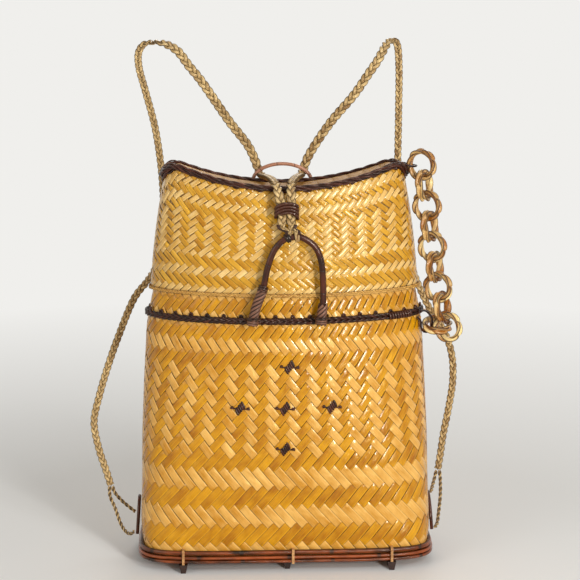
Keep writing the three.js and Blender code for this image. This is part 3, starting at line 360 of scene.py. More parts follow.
def strand_finish(name, deep, pale, darkest, rough, width, woven=False, nodes=0.0, edge=0.5, spread=0.42,
                  gloss=0.5, crease=0.72, swell=0.8, sheen=(1.0, 0.86, 0.74), coat=0.0):
    """Split cane along its strand: a tone for each strand, fibres along it, and painted shade at its edges.

    Spread is how far strands differ in tone, crease where a strand's painted edge shade begins, nodes how far
    apart the cane's joints lie, and swell how uneven its face is."""
    material, net, shader = new_finish(name)
    along, strand = surface(net, "along"), surface(net, "strand")
    flat = net.node("ShaderNodeSeparateXYZ", None, surface(net, "across", 1))
    wide = flat.other(1)
    seat = net.joined(along * FIBRES_ALONG, wide * (width * FIBRES_ACROSS),
                      flat * FIBRES_THROUGH + strand * FIBRES_JUMP)
    fibre = noise(net, seat, 1.0, 5.0, 0.7)
    patch_seat = net.joined(along * PATCHES_ALONG, strand * PATCHES_JUMP, wide * PATCHES_ACROSS)
    patch = noise(net, patch_seat, 1.0, 2.0)
    tone = clamped((strand - 0.5) * spread + (patch - 0.5) * 1.5 + (fibre - 0.5) * 1.3 + 0.5)
    colour = mixed(net, tone, paint(*deep), paint(*pale))
    # Painted shade: a strand darkens towards its edges, where it meets its neighbours
    rim = clamped((abs(wide) - crease) / (1 - crease)) * edge
    mark = clamped((noise(net, net.scaled(seat, 0.5), 2.3, 5.0) - 0.64) * 7) * 0.5
    painted_shade_and_marks = clamped(rim + mark)
    if woven:
        # Painted highlight: a paler band along one edge of a woven strip
        painted_edge_highlight = clamped((wide - 0.62) * 6) * 0.4
        colour = mixed(net, painted_edge_highlight, colour, paint(*[min(255, value + 22) for value in pale]))
        # Painted shade: a strip darkens where it goes under the strips of the other slant
        painted_shade_and_marks = clamped(painted_shade_and_marks + (1 - surface(net, "over")).power(2.5) * 0.75)
    if nodes:
        joint = clamped(((along * (2 * math.pi / nodes) + strand * JOINTS_JUMP).sine() - 0.985) * 90)
        painted_shade_and_marks = clamped(painted_shade_and_marks + joint * 0.8)
    # The darkest colour takes the painted shade of edges and of strips under others, and the cane's own dark
    # marks and joints
    colour = mixed(net, painted_shade_and_marks, colour, paint(*darkest))
    rough_term = clamped(rough + (fibre - 0.5) * 0.35 + painted_shade_and_marks * 0.2)
    relief = fibre * 0.6 + patch * swell - painted_shade_and_marks * 0.3
    finished(net, shader, colour, rough_term, relief, 0.00022)
    shader.inputs["Specular IOR Level"].default_value = gloss
    shader.inputs["Specular Tint"].default_value = (*sheen, 1)
    shader.inputs["Coat Weight"].default_value = coat
    shader.inputs["Coat Roughness"].default_value = 0.15
    return material


def carved_finish(name, deep, pale, darkest, grain, rough=0.42):
    """Solid cane and bamboo on Object coordinates, with its grain along one direction."""
    material, net, shader = new_finish(name)
    here = net.node("ShaderNodeTexCoord", pick=3)
    seat = net.node("ShaderNodeMapping", None, here, None, None, grain)
    fibre = noise(net, seat, 1.0, 5.0, 0.62)
    cloud = noise(net, here, 55.0, 3.0)
    tone = clamped((fibre - 0.5) * 2.0 + (cloud - 0.5) * 1.2 + 0.5)
    mark = clamped((cloud - 0.6) * 5) * 0.5
    colour = mixed(net, mark, mixed(net, tone, paint(*deep), paint(*pale)), paint(*darkest))
    finished(net, shader, colour, clamped(rough + (fibre - 0.5) * 0.3), fibre + cloud * 0.4, 0.0002)
    return material


# Finishes: deep, pale and darkest colour, then a strand's roughness and width, or a carved piece's grain
SPLIT = {"rough": 0.24, "woven": True, "edge": 1.0, "spread": 0.34, "gloss": 0.3, "crease": 0.88,
         "swell": 12.0, "sheen": (1, 0.88, 0.4), "coat": 0.45}
# The two slants of each weave differ in tone, partly as the cane's own and partly as painted light: the paler
# slant stands in for the sheen it catches
BODY_FALLING = strand_finish(
    "golden_strip_falling", (192, 124, 0), (238, 186, 100), (78, 38, 2), width=0.008, **SPLIT)
BODY_RISING = strand_finish(
    "golden_strip_rising", (158, 90, 0), (222, 158, 16), (66, 30, 0), width=0.008, **SPLIT)
LID_RISING = strand_finish(
    "lid_strip_rising", (196, 138, 24), (242, 204, 134), (88, 50, 6), width=0.005, **SPLIT)
LID_FALLING = strand_finish(
    "lid_strip_falling", (166, 104, 0), (226, 170, 50), (78, 40, 2), width=0.005, **SPLIT)
# Painted shade: the lid's top, which faces up to the lamps, is darker than its wall
LID_TOP_CANE = strand_finish(
    "lid_top_strip", (156, 100, 26), (218, 166, 84), (70, 38, 8), 0.5, 0.005, woven=True, gloss=0.2)
DARK_CANE = strand_finish(
    "dark_strand", (10, 3, 1), (68, 30, 15), (4, 1, 1), 0.2, 0.003, spread=0.7)
DARK_RIM = strand_finish(
    "dark_rim_strand", (14, 4, 2), (80, 36, 22), (6, 2, 2), 0.3, 0.003, spread=0.7, gloss=0.36)
HOOP_CANE = strand_finish(
    "dark_hoop_cane", (14, 4, 2), (98, 42, 22), (8, 2, 1), 0.18, 0.009, nodes=0.021, edge=0.0, gloss=0.4)
REAR_CANE = strand_finish(
    "rear_hoop_strand", (104, 50, 34), (214, 156, 124), (44, 18, 10), 0.28, 0.006, nodes=0.017, edge=0.0)
BINDING_CANE = strand_finish(
    "dark_binding_strip", (54, 28, 18), (150, 104, 82), (20, 8, 5), 0.34, 0.003, edge=1.0, crease=0.4)
FRAME_CANE = strand_finish(
    "split_frame_cane", (14, 4, 1), (178, 84, 34), (8, 2, 1), 0.2, 0.009, nodes=0.085, edge=0.9, spread=0.8)
STRAP_CANE = strand_finish(
    "strap_strand", (122, 84, 40), (230, 198, 138), (32, 16, 6), 0.34, 0.003, edge=1.0, crease=0.5)
CORD_CANE = strand_finish(
    "rim_cord_strand", (154, 96, 20), (226, 178, 92), (56, 26, 4), 0.4, 0.0016, edge=1.0, crease=0.5)
RING_CANE = strand_finish(
    "chain_ring_strand", (156, 92, 22), (252, 222, 152), (60, 28, 6), 0.24, 0.006, edge=1.0, crease=0.55,
    spread=0.9)
LINER = carved_finish("woven_inside", (112, 64, 14), (160, 102, 34), (70, 36, 8), (160, 160, 160))
BEARER_WOOD = carved_finish("dark_bearer", (18, 7, 4), (56, 28, 15), (8, 3, 2), (600, 40, 600))
FRAME_TIE = carved_finish("pale_frame_tie", (140, 88, 44), (222, 172, 112), (84, 44, 16), (400, 60, 400))
TIE_CANE = carved_finish("pale_tie", (168, 108, 40), (228, 182, 104), (92, 52, 16), (200, 200, 200))
DARK_TIE = carved_finish("dark_tie", (14, 5, 2), (60, 27, 14), (4, 1, 1), (300, 300, 300), 0.26)


# Lines: smooth curves through points, and the side and front direction at each of their points
def length_of(points):
    return float(np.linalg.norm(np.diff(points, axis=0), axis=1).sum())


def distances(points):
    """How far along a line each of its points is."""
    return np.concatenate([[0], np.cumsum(np.linalg.norm(np.diff(points, axis=0), axis=1))])


def resampled(values, run, at):
    return np.stack([np.interp(at, run, column) for column in values.T], 1)


CURVE_STEPS = 24


def smooth_line(points, step, closed=False):
    """Points at equal steps, in metres, on a centripetal curve through the given ones in millimetres.

    A closed line keeps to its points, which already lie close together."""
    given = np.array(points, float) * MM
    if closed:
        ring = np.concatenate([given, given[:1]])
        run = distances(ring)
        count = max(8, round(length_of(ring) / step))
        return resampled(ring, run, run[-1] * np.arange(count) / count)
    padded = np.concatenate([[2 * given[0] - given[1]], given, [2 * given[-1] - given[-2]]])
    t = np.linspace(0, 1, CURVE_STEPS, endpoint=False)[:, None]
    fine = []
    for p0, p1, p2, p3 in zip(padded, padded[1:], padded[2:], padded[3:]):
        t0, t1, t2 = (max(np.linalg.norm(b - a), 1e-7) ** 0.5 for a, b in ((p0, p1), (p1, p2), (p2, p3)))
        leave = ((p1 - p0) / t0 - (p2 - p0) / (t0 + t1) + (p2 - p1) / t1) * t1
        reach = ((p2 - p1) / t1 - (p3 - p1) / (t1 + t2) + (p3 - p2) / t2) * t1
        square, cube = 3 * (p2 - p1) - 2 * leave - reach, 2 * (p1 - p2) + leave + reach
        fine.append(p1 + leave * t + square * t**2 + cube * t**3)
    fine = np.concatenate([*fine, [given[-1]]])
    run = distances(fine)
    count = max(3, round(run[-1] / step) + 1)
    return resampled(fine, run, np.linspace(0, run[-1], count))


def unit(vectors):
    return vectors / np.maximum(np.linalg.norm(vectors, axis=-1, keepdims=True), 1e-12)


def tangents(points, closed=False):
    if closed:
        return unit(np.roll(points, -1, 0) - np.roll(points, 1, 0))
    return unit(np.gradient(points, axis=0))


def stretch(line, low, high, count):
    """Points and directions at equal steps along a stretch of a line."""
    at, run = np.linspace(low, high, count), distances(line)
    return [resampled(values, run, at) for values in (line, tangents(line))]


def keep(mesh, label, values):
    """A number or a vector for each point of a mesh, as an attribute."""
    kind, field = ("FLOAT_VECTOR", "vector") if values.ndim == 2 else ("FLOAT", "value")
    mesh.attributes.new(label, kind, "POINT").data.foreach_set(field, values.astype(np.float32).ravel())


def line_mesh(name, lines, hint, closed, tapered):
    """Edges along lines of points, with the side near the hint and the front square to it."""
    vertices, edges = [], []
    kept = {"side": [], "front": [], "line": [], "girth": []}
    for number, points in enumerate(lines):
        along = tangents(points, closed)
        hints = np.array(hint[number] if isinstance(hint, list) else hint, float)
        hints = np.broadcast_to(hints, points.shape)
        side = unit(hints - along * np.sum(hints * along, 1, keepdims=True))
        first = sum(len(done) for done in vertices)
        last = len(points) if closed else len(points) - 1
        share = np.linspace(-1, 1, len(points))
        vertices.append(points)
        edges += [(first + i, first + (i + 1) % len(points)) for i in range(last)]
        kept["side"].append(side)
        kept["front"].append(np.cross(along, side))
        kept["line"].append(np.full(len(points), float(number)))
        kept["girth"].append(np.sqrt(1.06 - share**4) if tapered else np.ones(len(points)))
    mesh = bpy.data.meshes.new(name)
    mesh.from_pydata(np.concatenate(vertices).tolist(), edges, [])
    for label, values in kept.items():
        keep(mesh, label, np.concatenate(values))
    return mesh


# A lay so long that a strand doesn't turn
STRAIGHT = 50.0


def strands(node, form, points, hint, finish, size, count=1, spread=(0.0, 0.0), lay=STRAIGHT, beats=2.0,
            flatness=1.0, sides=8, start=0.0, closed=False, tapered=False, seed=1, ride="basket",
            slot="dark_cane"):
    """Strands along a line or lines, in place of a CAD node, as a piece named for the node and its form.

    Size is a strand's width and thickness, and spread how far strands go aside and to the front."""
    lines = points if isinstance(points, list) else [points]
    if closed and lay < STRAIGHT:
        total = length_of(np.concatenate([lines[0], lines[0][:1]]))
        lay = total / max(1, round(total / lay))
    name = f"{node}_{form}"
    piece = grown(name, line_mesh(name, lines, hint, closed, tapered), STRANDS, {
        "Strands": count, "Half width": spread[0], "Half depth": spread[1], "Lay length": lay,
        "Beats": beats, "Start turn": start, "Strand width": size[0], "Strand thickness": size[1],
        "Flatness": flatness, "Sides": sides, "Seed": seed, "Finish": finish,
    })
    return dressed_as(piece, node, ride)


TURN_POINTS = 16


def wound(node, form, line, between, radius, turns, finish, size, around=(0, 1, 0), **dressing):
    """A strip wound round a stretch of a line, in millimetres along it."""
    count = int(turns * TURN_POINTS) + 1
    centre, along = stretch(line, between[0] * MM, between[1] * MM, count)
    around = np.array(around, float)
    side = unit(around - along * (along @ around)[:, None])
    angle = 2 * np.pi * np.arange(count)[:, None] / TURN_POINTS
    out = side * np.cos(angle) + np.cross(along, side) * np.sin(angle)
    points = centre + out * (radius * MM)
    strands(node, form, points, np.cross(out, tangents(points)), finish, size, **dressing)


# Shoulder straps: plaited from three strips, over the lid, up to the shoulders and down behind
STRAP_ROUTES = {
    "left": {
        "front": [(-5, -57.8, 331.4), (-5, -57, 338), (-5.6, -57, 347), (-7.2, -57, 355.5),
                  (-8.6, -55.2, 361), (-9.8, -50.5, 365.2), (-10.6, -44.4, 366.8)],
        "shoulder": [(-10.8, -43.3, 367), (-11.6, -36, 367.4), (-13.4, -20, 367.6), (-15.8, -3, 367),
                     (-18.4, 25, 364.4), (-20, 42, 363), (-20.4, 47.2, 363.4), (-22.6, 52.8, 367.4),
                     (-26.5, 54.5, 378), (-32.7, 54.5, 390.6), (-49.8, 54, 413), (-78, 54, 454),
                     (-88.5, 54, 467), (-99.7, 56, 481.5), (-112, 60, 488), (-123, 64, 489)],
        "back": [(-124, 64.4, 489), (-131, 67.8, 487), (-136.5, 76, 479), (-137, 88, 464),
                 (-131, 101, 438), (-122, 109, 400), (-116, 111, 350), (-115.5, 102, 303),
                 (-121, 83, 272), (-131, 67, 256.5), (-143.3, 61, 241.6), (-159.8, 60, 203.3),
                 (-170.7, 58, 173.2), (-179.4, 55, 144.8), (-185, 49.5, 119.2), (-180.5, 40, 95),
                 (-172.8, 31, 73), (-168.8, 26, 61.5)],
        "inner": [(-166.8, 25.2, 60.1), (-165.5, 25, 55), (-158.5, 23.5, 46.5), (-150.5, 22.3, 39.5),
                  (-145.3, 21.4, 35.5)],
        "outer": [(-170.1, 25.6, 60.1), (-169.6, 24, 51), (-165, 19, 41), (-157.6, 8, 24.5),
                  (-150.5, -3, 20.8), (-146, -8.6, 24.5)],
    },
    "right": {
        "front": [(3.3, -57.8, 331.4), (3.3, -57, 338), (3.3, -57, 347), (3.3, -57, 355.5),
                  (3.3, -55.2, 360.8), (3.6, -50.5, 365.2), (4.2, -44.4, 366.8)],
        "shoulder": [(4.4, -43.3, 367), (5.4, -36, 367.4), (8.2, -20, 367.6), (11.2, -3, 367),
                     (15, 25, 364.4), (17.6, 42, 363), (18.6, 47.2, 363.4), (21, 52.8, 367.4),
                     (25.5, 54.5, 378.9), (46.3, 54.5, 411), (70.4, 54, 439.6), (84, 54, 459.5),
                     (92.6, 55, 471.8), (98.3, 59, 481.5), (102, 63.7, 486.8), (105.8, 69, 489.3)],
        "back": [(106.6, 70.1, 489.7), (109.5, 74.6, 490), (114, 83, 484), (117, 94, 463),
                 (118.5, 107, 415), (119, 111, 350), (122, 104, 303), (132, 91, 262), (146, 78, 228),
                 (162, 66, 202), (169, 61, 180), (170, 58, 155), (166, 55, 128), (160, 47, 103),
                 (156, 38, 84), (153, 31, 71.5)],
        "inner": [(151.2, 30.1, 70), (149.6, 27.5, 64.5), (146.6, 20, 58), (143.9, 10.5, 54.6)],
        "outer": [(154.5, 30.2, 70), (155, 27, 61), (154.2, 19, 48), (151.5, 9, 34),
                  (148.8, -1, 25.5), (146, -8.6, 24.5)],
    },
}
PLAIT = {"finish": STRAP_CANE, "slot": "strap_cane", "count": 3, "spread": (0.0026, 0.0014),
         "lay": 0.0205, "size": (0.0039, 0.0019)}
THIN_PLAIT = {**PLAIT, "spread": (0.0021, 0.0011), "lay": 0.018, "size": (0.0032, 0.0016)}
TWIST = {**PLAIT, "count": 2, "spread": (0.00095, 0.00095), "lay": 0.0105, "size": (0.0021, 0.0018),
         "beats": 1.0, "flatness": 0.0}
ACROSS, BACKWARD, UPWARD = (1, 0, 0), (0, 1, 0), (0, 0, 1)

for strap_side, seed in (("left", 3), ("right", 4)):
    strap = f"strap_{strap_side}"
    routes = STRAP_ROUTES[strap_side]
    front_line = smooth_line(routes["front"], 0.0007)
    piece = strands(f"{strap}_front", "plait", front_line, ACROSS, seed=seed, ride=None, **PLAIT)
    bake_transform(piece)
    piece = strands(f"{strap}_shoulder", "plait", smooth_line(routes["shoulder"], 0.0008), ACROSS, seed=seed,
                    ride=None, start=(length_of(front_line) + 0.001) / PLAIT["lay"], **PLAIT)
    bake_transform(piece)
    strands(f"{strap}_back", "plait", smooth_line(routes["back"], 0.0008), ACROSS, seed=seed, **THIN_PLAIT)
    for leg in ("inner", "outer"):
        strands(f"{strap}_leg_{leg}", "twist", smooth_line(routes[leg], 0.0006), BACKWARD, seed=seed, **TWIST)


# Sections: points and outward normals round the basket, in equal steps along its length
AROUND, RIM_POINTS, OUTLINE_STEPS = 192, 480, 1440


def section(half_width, half_depth, squareness, count):
    """The points, the normals and the length of an oval that is more of a rectangle if squareness is high."""
    angle = np.linspace(0, 2 * np.pi, OUTLINE_STEPS + 1)
    fine = np.stack([half * np.sign(wave) * abs(wave) ** (2 / squareness)
                     for half, wave in ((half_width, np.cos(angle)), (half_depth, np.sin(angle)))], 1)
    run = distances(fine)
    point = resampled(fine, run, run[-1] * np.arange(count) / count)
    half = np.array([half_width, half_depth])
    slope = np.sign(point) * abs(point / half) ** (squareness - 1) / half
    return point, unit(slope), run[-1]


# The body's stations: height, half width, half depth and squareness, in millimetres
STATIONS = np.array([
    (8.3, 135.5, 57, 5.5), (20.7, 135.5, 57, 5.5), (27.28, 137.53, 58.82, 5.5), (40.44, 138.4, 59.6, 4.3),
    (75.53, 137.28, 60.4, 3.4), (123.77, 136.6, 60.4, 2.6), (174.21, 134.2, 58.8, 2.1),
    (228, 130.9, 55.6, 1.85), (240, 128.8, 54.6, 1.8), (280, 120.5, 50.7, 1.75),
])
FOOT_HEIGHT, MOUTH_HEIGHT, NECK_TOP = 8.3, 240, 280
GAP = 0.3


def body_size(height):
    return [np.interp(height, STATIONS[:, 0], column) for column in STATIONS[:, 1:].T]


def front_wall(across, height):
    """Where the body's front stands at a place across it."""
    width, depth, square = body_size(height)
    return -depth * (1 - min(abs(across) / width, 1) ** square) ** (1 / square)


def body_ring(height, offset):
    point, normal, _ = section(*body_size(height), AROUND)
    return np.concatenate([point + normal * offset, np.full((AROUND, 1), height)], 1)


# Lid: an oval cap that narrows to a saddle top, which falls to the back and rounds off at its two peaks
LID_RIM, LID_HEIGHT = 264, 361
LID_TALL = LID_HEIGHT - LID_RIM
LID_FOOT, LID_TOP = (126.6, 55, 1.75), (113, 40, 2.6)
LID_BULGE, PEAK_RISE, BACK_FALL = 8, 26.8, 5
PEAK_ROUND, ROUND_FROM_SHARE = 18, 0.86


def lid_top_at(x, y):
    half_width, half_depth, _ = LID_TOP
    across = np.minimum(abs(x) / half_width, 1)
    corner = np.maximum(across - ROUND_FROM_SHARE, 0) / (1 - ROUND_FROM_SHARE)
    back = (y + half_depth) / (2 * half_depth)
    return LID_HEIGHT + PEAK_RISE * across**2 - PEAK_ROUND * corner**2 - BACK_FALL * back


def lid_wall_ring(share, offset):
    """A ring of the lid's wall, from its rim at share 0 to its top edge at share 1."""
    rim, rim_normal, _ = section(*LID_FOOT, AROUND)
    top, top_normal, _ = section(*LID_TOP, AROUND)
    normal = unit(rim_normal * (1 - share) + top_normal * share)
    flat = rim * (1 - share) + top * share + normal * (LID_BULGE * share * (1 - share) + offset)
    high = LID_RIM + (lid_top_at(top[:, 0], top[:, 1]) - LID_RIM) * share
    return np.concatenate([flat, high[:, None]], 1)


def lid_top_ring(scale, depth):
    """A ring on the lid's top, or at a depth under it."""
    point, normal, _ = section(*LID_TOP, AROUND)
    flat = (point - normal * depth) * scale
    return np.concatenate([flat, (lid_top_at(flat[:, 0], flat[:, 1]) - depth)[:, None]], 1)


# Formers: the surfaces that the strips are plaited over
def former(name, rows, chart, closeness):
    """Rings of points with outward normals, a chart of strips round and rows up, and how close strips lie."""
    rows = np.array(rows) * MM
    rows = np.concatenate([rows, rows[:, :1]], 1)
    tall, wide = rows.shape[:2]
    round_way = np.gradient(rows, axis=1)
    round_way[:, 0] = round_way[:, -1] = rows[:, 1] - rows[:, -2]
    out = unit(np.cross(round_way, np.gradient(rows, axis=0)))
    corner = np.arange((tall - 1) * wide).reshape(tall - 1, wide)[:, :-1].ravel()
    faces = np.stack([corner, corner + 1, corner + 1 + wide, corner + wide], 1)
    mesh = bpy.data.meshes.new(name)
    mesh.from_pydata(rows.reshape(-1, 3).tolist(), [], faces.tolist())
    keep(mesh, "out", out.reshape(-1, 3))
    keep(mesh, "chart", np.concatenate([chart.reshape(-1, 2), np.zeros((tall * wide, 1))], 1))
    keep(mesh, "closeness", np.repeat(closeness, wide))
    return linked(name, mesh)


def grid_chart(rows, strips):
    return np.stack(np.meshgrid(np.arange(AROUND + 1) / AROUND * strips, rows), 2)


def strip_profile():
    """Section of a split strip, across its thickness and its width: flat on top, with broken edges."""
    points = [(-0.7, -0.8, 0), (-0.7, 0.8, 0), (0.1, 1, 0), (0.75, 0.9, 0), (1, 0, 0), (0.75, -0.9, 0),
              (0.1, -1, 0)]
    mesh = bpy.data.meshes.new("strip_profile")
    mesh.from_pydata(points, [(i, (i + 1) % len(points)) for i in range(len(points))], [])
    return mesh


def rows_between(first, last):
    """The rows that strips run through, and the points that each strip needs for them."""
    return {"First row": first, "Samples": round((last - first) * SAMPLES_A_ROW)}


def twill(name, weave, finishes, node, ride, slot, seed):
    """The falling strips of a weave and then its rising ones."""
    for place, (way, slant) in enumerate((("falling", -1.0), ("rising", 1.0))):
        values = {**weave, "Slant": slant, "Finish": finishes[place], "Seed": seed + place}
        piece = grown(f"{name}_{way}_strips", strip_profile(), TWILL, values)
        dressed_as(piece, node, ride)


def shell(name, rows, poles, node, ride, slot):
    """A closed lining through rings of points, between two poles on the axis, in millimetres."""
    count = len(rows[0])
    points = np.concatenate([*rows, [(0, 0, height) for height in poles]]) * MM
    faces = []
    for level in range(len(rows) - 1):
        for k in range(count):
            a, b = level * count + k, level * count + (k + 1) % count
            faces.append((a, b, b + count, a + count))
    low, high, base = len(points) - 2, len(points) - 1, (len(rows) - 1) * count
    for k in range(count):
        faces += [(low, (k + 1) % count, k), (high, base + k, base + (k + 1) % count)]
    mesh = bpy.data.meshes.new(name)
    mesh.from_pydata(points.tolist(), [], faces)
    mesh.materials.append(LINER)
    mesh.shade_smooth()
    dressed_as(linked(name, mesh), node, ride)


# Body: strips of split cane in a twill, bigger rows below and above and columns between
BODY_STRIPS = 66
BODY_ROW, BODY_ZERO, BODY_SLANT = 12.24, 10.9, 1.35
body_heights = np.arange(9, NECK_TOP + 1, 4.0)
body_heights[-1] = NECK_TOP
body_rows = np.array([body_ring(height, 0.0) for height in body_heights])
for _ in range(2):
    body_rows[3:-1] = (body_rows[2:-2] + 2 * body_rows[3:-1] + body_rows[4:]) / 4
body_lengths = np.array([section(*body_size(height), AROUND)[2] for height in body_heights])
body_chart = grid_chart((body_heights - BODY_ZERO) / BODY_ROW, BODY_STRIPS)
body_former = former("body_former", body_rows, body_chart, body_lengths / body_lengths[0])
BODY_WEAVE = {
    "Former": body_former, "Strips": BODY_STRIPS, **rows_between(-0.25, 21.75),
    "Row length": BODY_ROW * MM * BODY_SLANT, "Round shift": 0.75,
    "Columns from": 16.5, "Columns to": 30.5,
    "Lower start": 0.0, "Lower period": 6.0, "Lower falls": 3.0,
    "Upper start": 33.0, "Upper period": 4.0, "Upper falls": 2.0,
    "Strip width": 0.0082, "Strip thickness": 0.0006, "Lift": 0.00038, "Seat": -0.0005,
}
BODY_DRESS = {"node": "basket_body", "ride": "basket", "slot": "golden_cane"}
twill("basket_body", BODY_WEAVE, (BODY_FALLING, BODY_RISING), seed=11, **BODY_DRESS)

# The body's lining, up outside and down inside, as heights and offsets from the weave
LINING_TOP, LINING_RINGS = 279.6, 30
body_lining = [
    (8.5, -4.6), (11.5, -1.6),
    *((height, -1.45) for height in np.linspace(16, LINING_TOP, LINING_RINGS)),
    *((height, -2.4) for height in np.linspace(LINING_TOP, 15, LINING_RINGS)),
    (10.9, -6),
]
shell("basket_body_inside", [body_ring(*place) for place in body_lining], (8.5, 10.7), **BODY_DRESS)

# Lid: finer strips, with its own rows and columns, and a plain twill over its saddle top
LID_STRIPS = 70
LID_ROW, LID_ZERO, LID_SLANT = 6.4, 4.6, 1.6
wall_shares = np.linspace(0, 1, 26)
lid_rows = [lid_wall_ring(share, 0.0) for share in wall_shares]
lid_chart = grid_chart((wall_shares * LID_TALL - LID_ZERO) / LID_ROW, LID_STRIPS)
lid_former = former("lid_former", lid_rows, lid_chart, np.interp(wall_shares, [0, 1], [1.0, 0.93]))
LID_WEAVE = {
    "Former": lid_former, "Strips": LID_STRIPS, **rows_between(-0.75, 14.25),
    "Row length": LID_ROW * MM * LID_SLANT, "Round shift": 0.44,
    "Columns from": 9.5, "Columns to": 19.5,
    "Lower start": 1.0, "Lower period": 5.0, "Lower falls": 3.0,
    "Upper start": 20.0, "Upper period": 4.0, "Upper falls": 2.0,
    "Strip width": 0.00512, "Strip thickness": 0.0005, "Lift": 0.0003, "Seat": -0.00038,
}
LID_DRESS = {"node": "lid_shell", "ride": "lid", "slot": "pale_cane"}
twill("lid_wall", LID_WEAVE, (LID_FALLING, LID_RISING), seed=21, **LID_DRESS)

TOP_STRIPS, TOP_STRIP, TOP_MIDDLE = 64, 7.4, (32, 20)
top_rows = np.array([lid_top_ring(scale, 0.0) for scale in np.linspace(1.0, 0.004, 28)])
top_closed = np.concatenate([top_rows, top_rows[:, :1]], 1)
top_chart = top_closed[..., :2] / [TOP_STRIP, LID_ROW] + TOP_MIDDLE
top_former = former("lid_top_former", top_rows, top_chart, np.ones(len(top_rows)))
TOP_WEAVE = {**LID_WEAVE, "Former": top_former, "Strips": TOP_STRIPS, **rows_between(12.75, 27.25),
             "Columns from": -500.0, "Columns to": 500.0, "Round shift": 0.0}
twill("lid_top", TOP_WEAVE, (LID_TOP_CANE, LID_TOP_CANE), seed=23, **LID_DRESS)

# The lid's lining: its wall and top at two depths under the weave
LINING_DEPTHS = (0.95, 1.7)
lid_outside, lid_inside = (
    [*(lid_wall_ring(share, -depth) - [0, 0, depth * share] for share in np.linspace(0, 1, 16)),
     *(lid_top_ring(scale, depth) for scale in np.linspace(0.94, 0.1, 9))]
    for depth in LINING_DEPTHS
)
shell("lid_inside", [*lid_outside[::-1], *lid_inside], [lid_top_at(0, 0) - depth for depth in LINING_DEPTHS],
      **LID_DRESS)


# Rims: the dark braid at the mouth, the pale cord at the lid's edge and the dark seam at its top
def rim_line(size, offset, heights, step):
    """A closed line that stands off an outline, at one height or at the height of each of its places."""
    point, normal, _ = section(*size, RIM_POINTS)
    flat = point + normal * offset
    high = heights(flat[:, 0], flat[:, 1]) if callable(heights) else np.full(len(flat), float(heights))
    return smooth_line(np.concatenate([flat, high[:, None]], 1), step, closed=True)


MOUTH_BRAID_OUT, RIM_CORD_OUT, SEAM_OUT, SEAM_EDGE = 2.35, 1.3, 2.95, 5.15
mouth_line = rim_line(body_size(MOUTH_HEIGHT), MOUTH_BRAID_OUT, MOUTH_HEIGHT, 0.0011)
strands("mouth_braid", "plait", mouth_line, UPWARD, DARK_RIM, (0.0026, 0.0017), count=4,
        spread=(0.0021, 0.00085), lay=0.024, closed=True, seed=31)
strands("lid_rim_cord", "plait", rim_line(LID_FOOT, RIM_CORD_OUT, LID_RIM, 0.0008), UPWARD, CORD_CANE,
        (0.0018, 0.0011), count=3, spread=(0.0011, 0.0004), lay=0.0092, closed=True, seed=32, ride="lid",
        slot="strap_cane")

# The seam takes the saddle's height where the lid's edge is, and two thinner strands fill in inside it
SEAM_PULL = LID_TOP[0] / (LID_TOP[0] + SEAM_EDGE)
for form, out, lift, pull, finish, count, spread, lay, size, seed in (
    ("twine", SEAM_OUT, 0, SEAM_PULL, DARK_RIM, 3, 0.0011, 0.03, (0.0021, 0.0019), 33),
    ("upper_strand", 1.4, 2.1, SEAM_PULL, BINDING_CANE, 2, 0.0008, 0.026, (0.0019, 0.0014), 34),
    ("lower_strand", 1.2, 1.2, 1, DARK_RIM, 2, 0.0008, 0.026, (0.0023, 0.0021), 37),
):
    seam_line = rim_line(LID_TOP, out, lambda x, y: lid_top_at(x * pull, y * pull) + lift, 0.001)
    strands("lid_top_seam", form, seam_line, UPWARD, finish, size, count=count, spread=(spread, spread),
            lay=lay, beats=1.0, flatness=0.0, closed=True, seed=seed, ride="lid")

# Stitches: tips over the mouth braid and under the lid's seam
mouth_point, mouth_normal, mouth_length = section(*body_size(MOUTH_HEIGHT), RIM_POINTS)
seam_length = section(*LID_TOP, AROUND)[2]
NECK_TIP_OUT, NECK_TIP_LEAN, NECK_TIP_PITCH = 0.9, 0.05, 16
LID_TIP_OUT, LID_TIP_PITCH = 0.7, 21.4


def on_neck(run, height):
    spot = round(run / mouth_length * RIM_POINTS) % RIM_POINTS
    flat = mouth_point[spot] + mouth_normal[spot] * (NECK_TIP_OUT - NECK_TIP_LEAN * height)
    return (*flat, MOUTH_HEIGHT + height), (*mouth_normal[spot], 0)


def on_lid(run, height):
    spot = round(run / seam_length * AROUND) % AROUND
    wall = lid_wall_ring(1 + height / LID_TALL, LID_TIP_OUT)[spot]
    return tuple(wall), (*unit(wall[:2] / [LID_TOP[0] ** 2, LID_TOP[1] ** 2]), 0)


def stitches(node, shape, places, at, seed, ride="basket"):
    """The same small stitch at places along a rim. At gives a point and an outward normal."""
    lines, outs = [], []
    for place in places:
        stitch = [at(place + along, height) for along, height in shape]
        lines.append(smooth_line([point for point, _ in stitch], 0.0005))
        outs.append(stitch[0][1])
    strands(node, "tips", lines, outs, DARK_RIM, (0.0021, 0.0019), sides=6, seed=seed, ride=ride)


stitches("mouth_braid", [(-1.6, 2.4), (-0.8, 3.9), (0, 5.2), (0.8, 3.9), (1.6, 2.4)],
         np.arange(0, mouth_length - NECK_TIP_PITCH / 2, NECK_TIP_PITCH), on_neck, seed=35)
stitches("lid_top_seam", [(-4.6, -0.2), (-2.2, -2), (0, -2.9), (2.2, -2), (4.6, -0.2)],
         np.arange(6, seam_length - 10, LID_TIP_PITCH), on_lid, seed=36, ride="lid")
wound("mouth_braid", "corner_turns", mouth_line, (mouth_length - 38, mouth_length - 12), 3.1, 9, DARK_CANE,
      (0.0026, 0.0016), around=UPWARD, seed=37)

